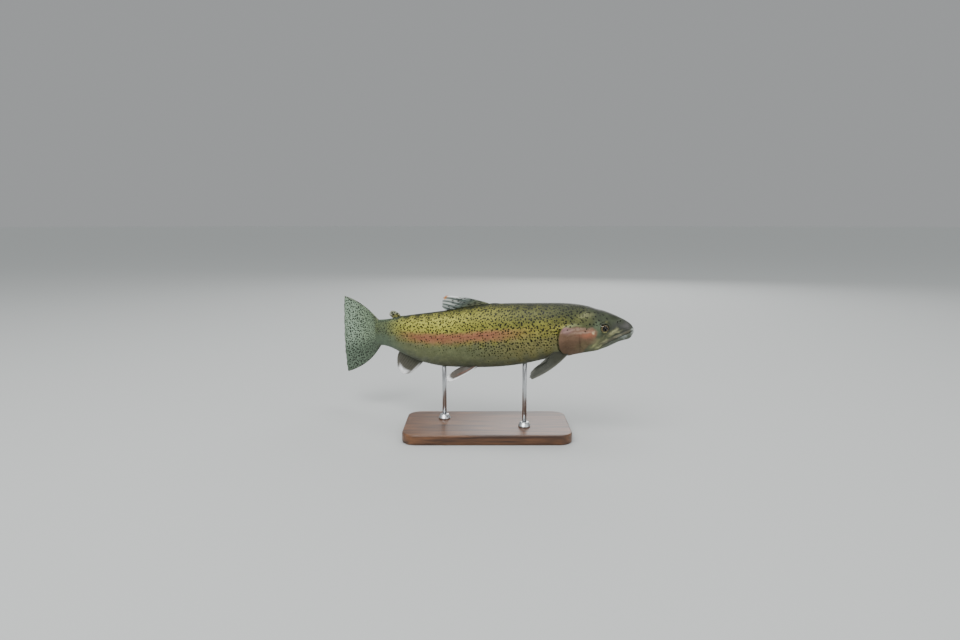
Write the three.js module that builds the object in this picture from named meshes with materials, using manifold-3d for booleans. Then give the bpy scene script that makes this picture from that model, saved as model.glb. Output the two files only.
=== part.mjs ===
// A rainbow trout of 600 mm, swimming with its tail swung to its left, on a plain display stand.
// Millimetres, +Z up. The head points to +X, and the origin is the middle of the stand's underside.
// The fish is shaped straight, with its snout at x = 0 and its body along -X, cut into its parts,
// and only then bent along its spine and set on the stand. "Back" is the distance from the snout.
import * as THREE from "three";
import { mergeVertices } from "three/addons/utils/BufferGeometryUtils.js";
import Module from "manifold-3d";

const wasm = await Module();
wasm.setup();

// ---- Driving dimensions -------------------------------------------------------------------

const GAP = 0.35; // between pieces that meet
const MERGE_WITHIN = 1e-3; // vertices closer than this are one

// The body's outline: how far back, the height of the back and of the belly over the spine's
// axis, and half the width there.
const OUTLINE = {
  snout: { back: 0, top: 3, belly: 3, half: 0 },
  lips: { back: 5, top: 13.5, belly: -11, half: 9.5 },
  nostrils: { back: 26, top: 27.5, belly: -18, half: 18 },
  eyes: { back: 52, top: 40, belly: -28, half: 24 },
  cheeks: { back: 80, top: 49.5, belly: -32, half: 27.5 },
  nape: { back: 108, top: 55, belly: -34, half: 29.5 },
  shoulder: { back: 142, top: 57.5, belly: -39, half: 31.5 },
  chest: { back: 190, top: 58.5, belly: -49.5, half: 33 },
  back: { back: 245, top: 58, belly: -56.5, half: 33.5 },
  loin: { back: 312, top: 51, belly: -58, half: 31 },
  vent: { back: 385, top: 43, belly: -50.5, half: 24 },
  anal: { back: 425, top: 38.5, belly: -37, half: 18 },
  stalk: { back: 468, top: 31, belly: -25.5, half: 12 },
  wrist: { back: 516, top: 26, belly: -25, half: 5.5 },
};
const FLESH_END = 521; // the blunt end of the flesh inside the tail fin
const WIDEST = 0.53; // the level of the greatest width, as a share of the height from the belly

// Sections are superellipses: 2 is an ellipse, more is boxier, less is a blunt wedge.
const ROUND = 2;
const CROWN = { extra: 0.45, from: 8, full: 50, fade: 150 }; // flat between the eyes
const THROAT = { round: 1.75, from: 100, to: 200 }; // a wedge under the head
const BELLY_ROUND = 2.2;

const GILL_PUFF = { rise: 2.2, from: 70, full: 126 }; // the gill covers stand off the shoulder
const GILL_PUFF_BAND = { low: -40, high: 14, soft: 12 };

const SKIN_MESH = { rings: 38, sides: 26 };
const INNER_MESH = { rings: 26, sides: 16 }; // for faces that the gill covers and lips hide
const RING_CROWDING = 1.6; // rings are closer together at the head

const EYE = {
  back: 52, height: 10.5, proud: 1.9, radius: 8.8, thickness: 6, forward: 12, up: 4,
};
const NOSTRILS = [
  { back: 23.5, height: 20.5, radius: 1.7 },
  { back: 29, height: 19.5, radius: 1.5 },
];
const NOSTRIL_DEPTH = 2.5;

// Outlines on the side of the head, as [back, height] points of a closed smooth curve.
const HEAD_EDGE = [
  [-30, 90], [66, 90], [75, 50], [86, 36], [106, 23.5], [122, 16], [128, 2],
  [129, -14], [126, -26], [116, -35], [98, -42], [60, -90], [-30, -90],
];
const GILL_COVER = [
  [69, 8], [84, 15.5], [104, 19.5], [126, 17], [142, 1], [142, -22], [132, -34],
  [112, -31.5], [90, -28.5], [73, -21], [66, -7],
];
const GILL_COVER_THICK = 4;
const LOWER_JAW = [
  [-8, 2.4], [6, 0.2], [22, -4.5], [40, -11.5], [55, -18.5], [62, -25], [66, -34],
  [60, -60], [-20, -60],
];
const UPPER_JAW = [
  [7, 5.5], [22, 2.5], [40, -3.5], [56, -11], [64, -17.5], [62, -21], [54, -19],
  [40, -12], [22, -4.6], [8, 0.8],
];
const UPPER_JAW_THICK = 2.6;
const UPPER_JAW_RISE = 0.8;

const CUT_DORSAL = 243;
const CUT_VENT = 388;

// Fins. The base runs from the first ray's root to the last ray's; the tips lie on a curve
// from the first tip, bending at the corner, to the last tip. Points are [back, side, height].
// Bow pushes the rays out between root and tip, most at the first ray and reversed at the last.
const FINS = {
  dorsal_fin: {
    base: [[240, 0, 54], [310, 0, 46]],
    tips: [[342, 0, 75], [349, 0, 64], [346, 0, 53]],
    root: 5, edge: 0.8, bow: [0, 0, 4.5], rays: 11, steps: 6,
  },
  adipose_fin: {
    base: [[431, 0, 32], [449, 0, 28]],
    tips: [[439, 0, 43], [464, 0, 53], [468, 0, 38]],
    root: 5, edge: 2.2, bow: [0, 0, 0], rays: 6, steps: 5,
  },
  tail_fin: {
    base: [[507, 0, 23], [507, 0, -22]],
    tips: [[609, 0, 72], [625, 0, -4], [616, 0, -87]],
    root: 7.5, edge: 0.8, bow: [4, 0, 8], rays: 16, steps: 6,
  },
  anal_fin: {
    base: [[389, 0, -45], [440, 0, -26]],
    tips: [[424, 0, -73], [460, 0, -85], [453, 0, -43]],
    root: 5, edge: 0.8, bow: [-1, 0, -2], rays: 9, steps: 6,
  },
  pelvic_fin: {
    base: [[274, 13, -51], [291, 7, -54]],
    tips: [[331, 30, -81], [346, 27, -72], [316, 18, -59]],
    root: 5, edge: 0.8, bow: [0, 2, -3], rays: 8, steps: 6, paired: true,
  },
  pectoral_fin: {
    base: [[113, 8, -31], [134, 16, -25]],
    tips: [[171, 49, -69], [182, 50, -57], [150, 34, -42]],
    root: 5.5, edge: 0.8, bow: [0, 3, -4], rays: 9, steps: 6, paired: true,
  },
};

// The pose: the spine's heading away from +X, its turns to the fish's left (in degrees, over a
// stretch of the body), and how far the snout is lifted.
const HEADING = 2;
const TURNS = [
  { from: 85, to: 190, by: 18 },
  { from: 385, to: 480, by: 30 },
  { from: 500, to: 600, by: -18 },
];
const NOSE_UP = 3.6;
const SPINE_LENGTH = 640;

// The stand. Rods stand under the spine at these distances back.
const STANDS_OVER = 262; // the point of the spine over the base's middle
const SNOUT_HEIGHT = 196; // of the spine's axis at the snout, over the floor
const BASE = { length: 300, width: 160, thick: 18, corner: 26, bevel: 2.5, steps: 5 };
const ROD = { radius: 4, sunk: 8 };
const COLLAR = { radius: 11, height: 9, taper: 0.7 };
const RODS = { front: 190, rear: 346 };

// ---- Curves and solids --------------------------------------------------------------------

const radians = THREE.MathUtils.degToRad;
const { smoothstep, lerp } = THREE.MathUtils;

// A natural cubic spline through (xs, ys), as a function.
function spline(xs, ys) {
  const last = xs.length - 1;
  const bend = new Array(last + 1).fill(0);
  const carry = new Array(last + 1).fill(0);
  for (let i = 1; i < last; i++) {
    const share = (xs[i] - xs[i - 1]) / (xs[i + 1] - xs[i - 1]);
    const pivot = share * bend[i - 1] + 2;
    const rise = (ys[i + 1] - ys[i]) / (xs[i + 1] - xs[i]);
    const before = (ys[i] - ys[i - 1]) / (xs[i] - xs[i - 1]);
    bend[i] = (share - 1) / pivot;
    carry[i] = ((6 * (rise - before)) / (xs[i + 1] - xs[i - 1]) - share * carry[i - 1]) / pivot;
  }
  bend[last] = 0;
  for (let i = last - 1; i >= 0; i--) bend[i] = bend[i] * bend[i + 1] + carry[i];
  return (x) => {
    let i = 0;
    while (i < last - 1 && x > xs[i + 1]) i++;
    const step = xs[i + 1] - xs[i];
    const a = (xs[i + 1] - x) / step;
    const b = (x - xs[i]) / step;
    const curve = ((a ** 3 - a) * bend[i] + (b ** 3 - b) * bend[i + 1]) * (step ** 2 / 6);
    return a * ys[i] + b * ys[i + 1] + curve;
  };
}

// A geometry with merged vertices and its faces turned outwards, with each vertex moved by place.
function reshaped(geometry, place) {
  const copy = geometry.clone();
  const position = copy.getAttribute("position");
  const uv = copy.getAttribute("uv");
  const point = new THREE.Vector3();
  for (let i = 0; i < position.count; i++) {
    point.fromBufferAttribute(position, i);
    place(point, uv && uv.getX(i), uv && uv.getY(i));
    position.setXYZ(i, point.x, point.y, point.z);
  }
  for (const name of Object.keys(copy.attributes)) {
    if (name !== "position") copy.deleteAttribute(name);
  }
  const merged = mergeVertices(copy, MERGE_WITHIN);
  merged.setIndex(withoutCollapsed(Array.from(merged.index.array)));
  return facingOut(merged);
}

// The faces whose three corners are still apart.
function withoutCollapsed(index) {
  return index.filter((_, i) => {
    const [a, b, c] = index.slice(i - (i % 3), i - (i % 3) + 3);
    return a !== b && b !== c && c !== a;
  });
}

function facingOut(geometry) {
  const position = geometry.getAttribute("position");
  const [a, b, c] = [new THREE.Vector3(), new THREE.Vector3(), new THREE.Vector3()];
  const index = geometry.index.array;
  let volume = 0;
  for (let i = 0; i < index.length; i += 3) {
    a.fromBufferAttribute(position, index[i]);
    b.fromBufferAttribute(position, index[i + 1]);
    c.fromBufferAttribute(position, index[i + 2]);
    volume += a.dot(b.cross(c));
  }
  if (volume < 0) {
    for (let i = 0; i < index.length; i += 3) {
      [index[i + 1], index[i + 2]] = [index[i + 2], index[i + 1]];
    }
  }
  return geometry;
}

function solidOf(geometry) {
  const merged = geometry.index && !geometry.getAttribute("uv") ? geometry : reshaped(geometry, () => {});
  return new wasm.Manifold(
    new wasm.Mesh({
      numProp: 3,
      vertProperties: new Float32Array(merged.getAttribute("position").array),
      triVerts: new Uint32Array(merged.index.array),
    }),
  );
}

function geometryOf(solid) {
  const { numProp, numVert, vertProperties, triVerts } = solid.getMesh();
  const position = new Float32Array(numVert * 3);
  for (let i = 0; i < numVert; i++) {
    position.set(vertProperties.subarray(i * numProp, i * numProp + 3), i * 3);
  }
  const geometry = new THREE.BufferGeometry();
  geometry.setAttribute("position", new THREE.BufferAttribute(position, 3));
  geometry.setIndex(new THREE.BufferAttribute(new Uint32Array(triVerts), 1));
  return geometry;
}

// The biggest body of a solid, without the slivers that a cut can leave.
function biggest(solid) {
  return solid.decompose().sort((a, b) => b.volume() - a.volume())[0];
}

// ---- The body, straight -------------------------------------------------------------------

// Outlines are splines over the square root of the distance back, which gives a blunt snout.
const stations = Object.values(OUTLINE);
const roots = stations.map((station) => Math.sqrt(station.back));
const outlineOf = (key) => spline(roots, stations.map((station) => station[key]));
const [topAt, bellyAt, halfAt] = ["top", "belly", "half"].map(outlineOf);

function sectionAt(back) {
  const root = Math.sqrt(Math.min(back, OUTLINE.wrist.back));
  const crown = smoothstep(back, CROWN.from, CROWN.full) * (1 - smoothstep(back, CROWN.full, CROWN.fade));
  const belly = lerp(THROAT.round, BELLY_ROUND, smoothstep(back, THROAT.from, THROAT.to));
  const [top, bottom] = [topAt(root), bellyAt(root)];
  return {
    top, bottom,
    half: halfAt(root),
    level: lerp(bottom, top, WIDEST),
    upper: ROUND + CROWN.extra * crown,
    lower: belly,
  };
}

// How far a gill cover lifts the side of the head, at a place on the body.
function gillPuff(back, height) {
  const { low, high, soft } = GILL_PUFF_BAND;
  const band = smoothstep(height, low - soft, low) * (1 - smoothstep(height, high, high + soft));
  return GILL_PUFF.rise * band * smoothstep(back, GILL_PUFF.from, GILL_PUFF.full);
}

// A point of the body's surface; around runs from 0 at the left side, over the back, to 1.
function bodyPoint(point, back, around, grow, puffed) {
  const section = sectionAt(back);
  const angle = around * 2 * Math.PI;
  const [across, up] = [Math.cos(angle), Math.sin(angle)];
  const power = 2 / (up > 0 ? section.upper : section.lower);
  const reach = up > 0 ? section.top - section.level : section.level - section.bottom;
  const width = Math.sign(across) * Math.abs(across) ** power * section.half;
  const height = Math.sign(up) * Math.abs(up) ** power * reach;
  const puff = puffed ? gillPuff(back, section.level + height) : 0;
  const size = Math.hypot(width, height) || 1;
  const out = 1 + (grow + puff) / size;
  return point.set(-back, width * out, section.level + height * out);
}

function bodySolid({ grow = 0, puffed = false, mesh = SKIN_MESH } = {}) {
  const ball = new THREE.SphereGeometry(1, mesh.sides, mesh.rings);
  return solidOf(
    reshaped(ball, (point, u, v) => {
      const along = 1 - v;
      const back = along ** RING_CROWDING * FLESH_END;
      bodyPoint(point, back, u, grow, puffed);
      if (along < 1e-6) point.set(grow, 0, OUTLINE.snout.top);
      if (along > 1 - 1e-6) point.set(-FLESH_END - grow, 0, 0);
    }),
  );
}

// ---- Cutters ------------------------------------------------------------------------------

const CUTTER_REACH = 120; // cutters reach past both sides of the body
const SAMPLES_A_POINT = 3;

// A prism across the whole body, from a closed smooth outline on its side, grown outwards.
function sidePrism(outline, grow = 0) {
  const loop = new THREE.CatmullRomCurve3(
    outline.map(([back, height]) => new THREE.Vector3(-back, height, 0)), true, "centripetal",
  );
  const samples = outline.length * SAMPLES_A_POINT;
  const turn = THREE.ShapeUtils.area(loop.getPoints(samples)) > 0 ? 1 : -1;
  const points = Array.from({ length: samples }, (_, i) => {
    const [place, tangent] = [loop.getPoint(i / samples), loop.getTangent(i / samples)];
    return new THREE.Vector2(
      place.x + turn * grow * tangent.y,
      place.y - turn * grow * tangent.x,
    );
  });
  const prism = new THREE.ExtrudeGeometry(new THREE.Shape(points), {
    depth: 2 * CUTTER_REACH, bevelEnabled: false,
  });
  return solidOf(
    reshaped(prism, (point) => point.set(point.x, CUTTER_REACH - point.z, point.y)),
  );
}

// A box over one stretch of the body's length.
function stretch(from, to) {
  const box = new THREE.BoxGeometry(to - from, 2 * CUTTER_REACH, 2 * CUTTER_REACH);
  return solidOf(reshaped(box, (point) => point.setX(point.x - (from + to) / 2)));
}

// The half of the space on one side of the fish: -1 its right, 1 its left.
function halfSpace(side) {
  const box = new THREE.BoxGeometry(2 * FLESH_END, CUTTER_REACH, 2 * CUTTER_REACH);
  return solidOf(reshaped(box, (point) => point.setY(point.y + (side * CUTTER_REACH) / 2)));
}

// ---- Eyes and nostrils --------------------------------------------------------------------

// The direction in which an eye looks out of the head.
function gaze(side) {
  const [forward, up] = [radians(EYE.forward), radians(EYE.up)];
  return new THREE.Vector3(
    Math.sin(forward) * Math.cos(up), side * Math.cos(forward) * Math.cos(up), Math.sin(up),
  );
}

// The width of the body's right half at a height, found on its section.
function halfWidthAt(back, height) {
  const { level, top, bottom, half, upper, lower } = sectionAt(back);
  const above = height > level;
  const rise = Math.abs(height - level) / (above ? top - level : level - bottom);
  const power = above ? upper : lower;
  return half * (1 - Math.min(rise, 1) ** power) ** (1 / power);
}

function eyeSolid(side, grow = 0) {
  const look = gaze(side);
  const place = new THREE.Vector3(-EYE.back, side * halfWidthAt(EYE.back, EYE.height), EYE.height)
    .addScaledVector(look, EYE.proud - EYE.thickness);
  const turn = new THREE.Quaternion().setFromUnitVectors(new THREE.Vector3(0, 1, 0), look);
  return solidOf(
    reshaped(new THREE.SphereGeometry(1, 16, 10), (point) => {
      point.multiply(
        new THREE.Vector3(EYE.radius + grow, EYE.thickness + grow, EYE.radius + grow),
      );
      point.applyQuaternion(turn).add(place);
    }),
  );
}

function nostrilSolid({ back, height, radius }, side) {
  const depth = halfWidthAt(back, height) - NOSTRIL_DEPTH;
  return solidOf(
    reshaped(new THREE.CylinderGeometry(radius, radius, CUTTER_REACH, 8), (point) => {
      point.add(new THREE.Vector3(-back, side * (depth + CUTTER_REACH / 2), height));
    }),
  );
}

// ---- Fins ---------------------------------------------------------------------------------

function finPoint(fin, side, ray, along) {
  const at = ([back, across, height]) => new THREE.Vector3(-back, side * across, height);
  const [first, last] = fin.base.map(at);
  const [start, corner, end] = fin.tips.map(at);
  const root = first.lerp(last, ray);
  const tip = new THREE.QuadraticBezierCurve3(start, corner, end).getPoint(ray);
  const bow = at(fin.bow).multiplyScalar(4 * along * (1 - along) * (1 - 2 * ray));
  return root.lerp(tip, along).add(bow);
}

function finSolid(fin, side) {
  const plate = new THREE.BoxGeometry(1, 1, 1, fin.rays, fin.steps, 1);
  const small = 1e-3;
  return solidOf(
    reshaped(plate, (point) => {
      const [ray, along, face] = [point.x + 0.5, point.y + 0.5, point.z * 2];
      const place = finPoint(fin, side, ray, along);
      const acrossRays = finPoint(fin, side, ray + small, along).sub(place);
      const alongRay = finPoint(fin, side, ray, along + small).sub(place);
      const thick = lerp(fin.edge, fin.root, (1 - along) ** 1.6);
      const normal = acrossRays.cross(alongRay).normalize();
      point.copy(place).addScaledVector(normal, (face * thick) / 2);
    }),
  );
}

// ---- The fish's parts, straight -----------------------------------------------------------

function fishParts() {
  const parts = {};
  const sides = { right: -1, left: 1 };
  const flesh = bodySolid();
  const headFlesh = bodySolid({ puffed: true });
  const clearance = bodySolid({ grow: GAP }).add(
    bodySolid({ grow: GAP, puffed: true }).intersect(sidePrism(HEAD_EDGE, GAP)),
  );

  // The trunk, behind the head's edge.
  const trunk = flesh.subtract(sidePrism(HEAD_EDGE, GAP));
  parts.trunk_front = biggest(trunk.intersect(stretch(0, CUT_DORSAL)));
  parts.trunk_rear = trunk.intersect(stretch(CUT_DORSAL + GAP, CUT_VENT));
  parts.tail_stalk = trunk.intersect(stretch(CUT_VENT + GAP, FLESH_END + 1));

  // The head, and what is cut out of it.
  const wholeHead = headFlesh.intersect(sidePrism(HEAD_EDGE));
  const lowerJawRoom = sidePrism(LOWER_JAW, GAP);
  let head = wholeHead.subtract(lowerJawRoom);
  parts.lower_jaw = biggest(wholeHead.intersect(sidePrism(LOWER_JAW)));
  const inner = (grow) => bodySolid({ grow, puffed: true, mesh: INNER_MESH });
  const underCover = inner(-GILL_COVER_THICK);
  const underCoverGap = inner(-GILL_COVER_THICK - GAP);
  const underJaw = inner(-UPPER_JAW_THICK);
  const underJawGap = inner(-UPPER_JAW_THICK - GAP);
  const raised = bodySolid({ grow: UPPER_JAW_RISE });
  for (const [name, side] of Object.entries(sides)) {
    const half = halfSpace(side);
    parts[`gill_cover_${name}`] = biggest(
      wholeHead.intersect(sidePrism(GILL_COVER)).intersect(half).subtract(underCover),
    );
    parts[`upper_jaw_${name}`] = biggest(
      raised.intersect(sidePrism(UPPER_JAW)).intersect(half)
        .subtract(underJaw).subtract(lowerJawRoom),
    );
    parts[`eye_${name}`] = eyeSolid(side);
    head = head
      .subtract(sidePrism(GILL_COVER, GAP).intersect(half).subtract(underCoverGap))
      .subtract(sidePrism(UPPER_JAW, GAP).intersect(half).subtract(underJawGap))
      .subtract(eyeSolid(side, GAP));
    for (const nostril of NOSTRILS) head = head.subtract(nostrilSolid(nostril, side));
  }
  parts.head = biggest(head);

  for (const [name, fin] of Object.entries(FINS)) {
    if (fin.paired) {
      for (const [sideName, side] of Object.entries(sides)) {
        parts[`${name}_${sideName}`] = biggest(finSolid(fin, side).subtract(clearance));
      }
    } else {
      parts[name] = biggest(finSolid(fin, 1).subtract(clearance));
    }
  }
  return { parts, clearance };
}

// ---- The pose -----------------------------------------------------------------------------

// The spine, walked a millimetre at a time: where it is and where it heads.
function walkSpine() {
  const spine = [];
  let [x, y] = [0, 0];
  for (let back = 0; back <= SPINE_LENGTH; back++) {
    const turned = TURNS.reduce((sum, t) => sum + t.by * smoothstep(back, t.from, t.to), HEADING);
    const heading = radians(turned);
    spine.push({ x, y, heading });
    x -= Math.cos(heading);
    y += Math.sin(heading);
  }
  return spine;
}
const spine = walkSpine();

function spineAt(back) {
  const before = THREE.MathUtils.clamp(Math.floor(back), 0, SPINE_LENGTH - 1);
  const [a, b] = [spine[before], spine[before + 1]];
  const share = back - before;
  return {
    x: lerp(a.x, b.x, share), y: lerp(a.y, b.y, share), heading: lerp(a.heading, b.heading, share),
  };
}

const middle = spineAt(STANDS_OVER);
const lift = new THREE.Quaternion().setFromAxisAngle(new THREE.Vector3(0, 1, 0), -radians(NOSE_UP));
const snoutPlace = new THREE.Vector3(
  -middle.x * Math.cos(radians(NOSE_UP)), -middle.y, SNOUT_HEIGHT,
);

// Moves a point of the straight fish to its place in the pose.
function posed(point) {
  const { x, y, heading } = spineAt(-point.x);
  const across = point.y;
  point.set(x + across * Math.sin(heading), y + across * Math.cos(heading), point.z);
  return point.applyQuaternion(lift).add(snoutPlace);
}

function posedGeometry(solid) {
  return reshaped(geometryOf(solid), posed);
}

// ---- The stand ----------------------------------------------------------------------------

function baseSolid() {
  const [x, y, r] = [BASE.length / 2 - BASE.bevel, BASE.width / 2 - BASE.bevel, BASE.corner];
  const plan = new THREE.Shape();
  plan.moveTo(-x + r, -y);
  plan.lineTo(x - r, -y).absarc(x - r, -y + r, r, -Math.PI / 2, 0);
  plan.lineTo(x, y - r).absarc(x - r, y - r, r, 0, Math.PI / 2);
  plan.lineTo(-x + r, y).absarc(-x + r, y - r, r, Math.PI / 2, Math.PI);
  plan.lineTo(-x, -y + r).absarc(-x + r, -y + r, r, Math.PI, 1.5 * Math.PI);
  const plate = new THREE.ExtrudeGeometry(plan, {
    depth: BASE.thick - 2 * BASE.bevel, curveSegments: BASE.steps,
    bevelSize: BASE.bevel, bevelThickness: BASE.bevel, bevelSegments: 1,
  });
  return solidOf(reshaped(plate, (point) => point.setZ(point.z + BASE.bevel)));
}

function upright(radius, from, to, place, sides = 16, topRadius = radius) {
  return solidOf(
    reshaped(new THREE.CylinderGeometry(topRadius, radius, to - from, sides), (point) => {
      point.set(place.x + point.x, place.y - point.z, (from + to) / 2 + point.y);
    }),
  );
}

function standParts(clearance) {
  const parts = {};
  let base = baseSolid();
  const roomUnderFish = solidOf(posedGeometry(clearance));
  for (const [name, back] of Object.entries(RODS)) {
    const place = posed(new THREE.Vector3(-back, 0, 0));
    const seat = BASE.thick - ROD.sunk;
    const rod = upright(ROD.radius, seat, place.z, place);
    const socket = upright(ROD.radius + GAP, seat - GAP, place.z, place);
    const collar = upright(COLLAR.radius, BASE.thick + GAP, BASE.thick + COLLAR.height, place,
      20, COLLAR.radius * COLLAR.taper);
    parts[`stand_rod_${name}`] = biggest(rod.subtract(roomUnderFish));
    parts[`stand_collar_${name}`] = collar.subtract(socket);
    base = base.subtract(socket);
  }
  parts.stand_base = base;
  return parts;
}

// ---- Materials and assembly ---------------------------------------------------------------

const FINISHES = {
  back: { color: "#7d7a45", roughness: 0.45, metalness: 0.1 },
  face: { color: "#6b7258", roughness: 0.45, metalness: 0.1 },
  cheek: { color: "#b06f63", roughness: 0.4, metalness: 0.15 },
  jaw: { color: "#8b9080", roughness: 0.45, metalness: 0.1 },
  fin: { color: "#8a8a74", roughness: 0.5, metalness: 0 },
  tail: { color: "#8fa08c", roughness: 0.5, metalness: 0 },
  eye: { color: "#191712", roughness: 0.1, metalness: 0 },
  wood: { color: "#4a2f1e", roughness: 0.4, metalness: 0 },
  steel: { color: "#b9bcbe", roughness: 0.3, metalness: 1 },
};
const FINISH_OF = [
  [/^head$/, "face"], [/_jaw/, "jaw"], [/^gill_cover/, "cheek"], [/^eye/, "eye"],
  [/^tail_fin/, "tail"], [/_fin/, "fin"], [/^stand_base/, "wood"], [/^stand/, "steel"],
  [/./, "back"],
];

function meshOf(name, geometry) {
  const [, finish] = FINISH_OF.find(([pattern]) => pattern.test(name));
  const mesh = new THREE.Mesh(geometry, new THREE.MeshStandardMaterial(FINISHES[finish]));
  mesh.name = name;
  return mesh;
}

const trout = new THREE.Group();
const { parts, clearance } = fishParts();
for (const [name, solid] of Object.entries(parts)) trout.add(meshOf(name, posedGeometry(solid)));
for (const [name, solid] of Object.entries(standParts(clearance))) {
  trout.add(meshOf(name, geometryOf(solid)));
}

export default trout;
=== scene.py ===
"""A rainbow trout on a display stand: its scaled skin, its fins with their rays, its eyes,
and the wood and steel that hold it.

The fish is worked out straight, in millimetres: s is the distance behind the snout, +Y is its
left and +Z its back. A place on its side is s and z, or s and the arc round its girth. posed()
then bends the fish along its spine, lifts its snout, sets it over the stand and turns it to
metres."""

import math

import bmesh
import bpy
import numpy as np
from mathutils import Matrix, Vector


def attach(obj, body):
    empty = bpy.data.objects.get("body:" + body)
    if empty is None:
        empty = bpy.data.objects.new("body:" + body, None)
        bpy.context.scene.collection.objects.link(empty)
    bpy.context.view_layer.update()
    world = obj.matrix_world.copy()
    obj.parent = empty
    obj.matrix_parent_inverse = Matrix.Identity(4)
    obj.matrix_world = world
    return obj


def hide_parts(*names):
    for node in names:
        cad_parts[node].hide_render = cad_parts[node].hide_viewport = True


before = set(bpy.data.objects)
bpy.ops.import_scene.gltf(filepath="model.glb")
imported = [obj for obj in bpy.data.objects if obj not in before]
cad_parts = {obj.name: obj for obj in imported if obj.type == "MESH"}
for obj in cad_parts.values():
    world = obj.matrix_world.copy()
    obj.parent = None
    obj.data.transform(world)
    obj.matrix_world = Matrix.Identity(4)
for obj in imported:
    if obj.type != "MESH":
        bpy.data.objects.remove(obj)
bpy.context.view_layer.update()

MM = 0.001
TAU = 2 * math.pi
UP = math.pi / 2  # the turn of the ridge of the back; the keel's is -UP

# ---- Sizes, as in the part's source ---------------------------------------------------------

# How far back, the height of the back and of the belly, and half the width there.
OUTLINE = {
    "snout": (0, 3, 3, 0),
    "lips": (5, 13.5, -11, 9.5),
    "nostrils": (26, 27.5, -18, 18),
    "eyes": (52, 40, -28, 24),
    "cheeks": (80, 49.5, -32, 27.5),
    "nape": (108, 55, -34, 29.5),
    "shoulder": (142, 57.5, -39, 31.5),
    "chest": (190, 58.5, -49.5, 33),
    "back": (245, 58, -56.5, 33.5),
    "loin": (312, 51, -58, 31),
    "vent": (385, 43, -50.5, 24),
    "anal": (425, 38.5, -37, 18),
    "stalk": (468, 31, -25.5, 12),
    "wrist": (516, 26, -25, 5.5),
}
WRIST = OUTLINE["wrist"][0]
FLESH_END = 521
WIDEST = 0.53
ROUND = 2
CROWN = dict(extra=0.45, start=8, full=50, fade=150)
THROAT = dict(round=1.75, start=100, end=200)
BELLY_ROUND = 2.2
GILL_PUFF = dict(rise=2.2, start=70, full=126, low=-40, high=14, soft=12)

HEADING = 2
TURNS = [(85, 190, 18), (385, 480, 30), (500, 600, -18)]
NOSE_UP = 3.6
SPINE_LENGTH = 640
STANDS_OVER = 262
SNOUT_HEIGHT = 196

HEAD_EDGE = [
    (-30, 90), (66, 90), (75, 50), (86, 36), (106, 23.5), (122, 16), (128, 2),
    (129, -14), (126, -26), (116, -35), (98, -42), (60, -90), (-30, -90),
]
EYE = dict(back=52, height=10.5, proud=1.9, forward=12, up=4)
NOSTRILS = [(23.5, 20.5, 1.7), (29, 19.5, 1.5)]

RODS = {"front": 190, "rear": 346}
ROD_RADIUS = 4
COLLAR = dict(radius=11, height=9, taper=0.7)
BASE = dict(length=300, width=160, thick=18, corner=26, bevel=2.5)

COAT_DEPTH = 0.5  # the skin lies this far inside the flesh, under the scales
HEAD_END = 140  # the head's relief is all in front of this

# ---- Curves and fields ------------------------------------------------------------------------


def spline(xs, ys):
    """A natural cubic spline through the points, as a function of an array."""
    n, step = len(xs), np.diff(xs)
    system, rises = np.eye(n), np.zeros(n)
    for i in range(1, n - 1):
        system[i, i - 1 : i + 2] = step[i - 1], 2 * (step[i - 1] + step[i]), step[i]
        rises[i] = 6 * ((ys[i + 1] - ys[i]) / step[i] - (ys[i] - ys[i - 1]) / step[i - 1])
    bend = np.linalg.solve(system, rises)

    def at(x):
        i = np.clip(np.searchsorted(xs, x) - 1, 0, n - 2)
        a, b = (xs[i + 1] - x) / step[i], (x - xs[i]) / step[i]
        curve = (a**3 - a) * bend[i] + (b**3 - b) * bend[i + 1]
        return a * ys[i] + b * ys[i + 1] + curve * step[i] ** 2 / 6

    return at


def smoothstep(x, low, high):
    t = np.clip((x - low) / (high - low), 0, 1)
    return t * t * (3 - 2 * t)


def fade(x, low, high):
    """1 up to low, falling smoothly to 0 at high."""
    return 1 - smoothstep(x, low, high)


def lerp(a, b, t):
    return a + (b - a) * t


def bump(x, centre, reach):
    """1 at the centre, falling smoothly to nothing."""
    return np.exp(-(((x - centre) / reach) ** 2))


def patch(s, z, centre, reach, soft=0.55):
    """A soft-edged oval on the side of the fish: 1 inside, 0 outside."""
    r = np.hypot((s - centre[0]) / reach[0], (z - centre[1]) / reach[1])
    return fade(r, 1 - soft, 1 + soft)


def smooth_line(points, steps=8, closed=False):
    """Points along a Catmull-Rom curve through the given ones."""
    p = np.array(points, float)
    ring = np.vstack([p[-1:], p, p[:2]]) if closed else np.vstack([p[:1], p, p[-1:]])
    t = np.linspace(0, 1, steps, endpoint=False)[:, None]
    parts = []
    for a, b, c, d in zip(ring, ring[1:], ring[2:], ring[3:]):
        bend = (2 * a - 5 * b + 4 * c - d) * t**2 + (3 * b - a - 3 * c + d) * t**3
        parts.append(0.5 * (2 * b + (c - a) * t + bend))
    return np.vstack(parts if closed else [*parts, p[-1:]])


def line_distance(s, z, line):
    """Distance to an open line, and how far along it the nearest place is, from 0 to 1."""
    near, along = np.full(s.shape, 1e9), np.zeros(s.shape)
    runs = np.hypot(*np.diff(line, axis=0).T)
    start = np.concatenate([[0], np.cumsum(runs)])
    for a, b, run, begun in zip(line, line[1:], runs, start):
        d = b - a
        t = np.clip(((s - a[0]) * d[0] + (z - a[1]) * d[1]) / max(run**2, 1e-9), 0, 1)
        far = np.hypot(s - a[0] - t * d[0], z - a[1] - t * d[1])
        closer = far < near
        near = np.where(closer, far, near)
        along = np.where(closer, begun + t * run, along)
    return near, along / start[-1]


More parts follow.
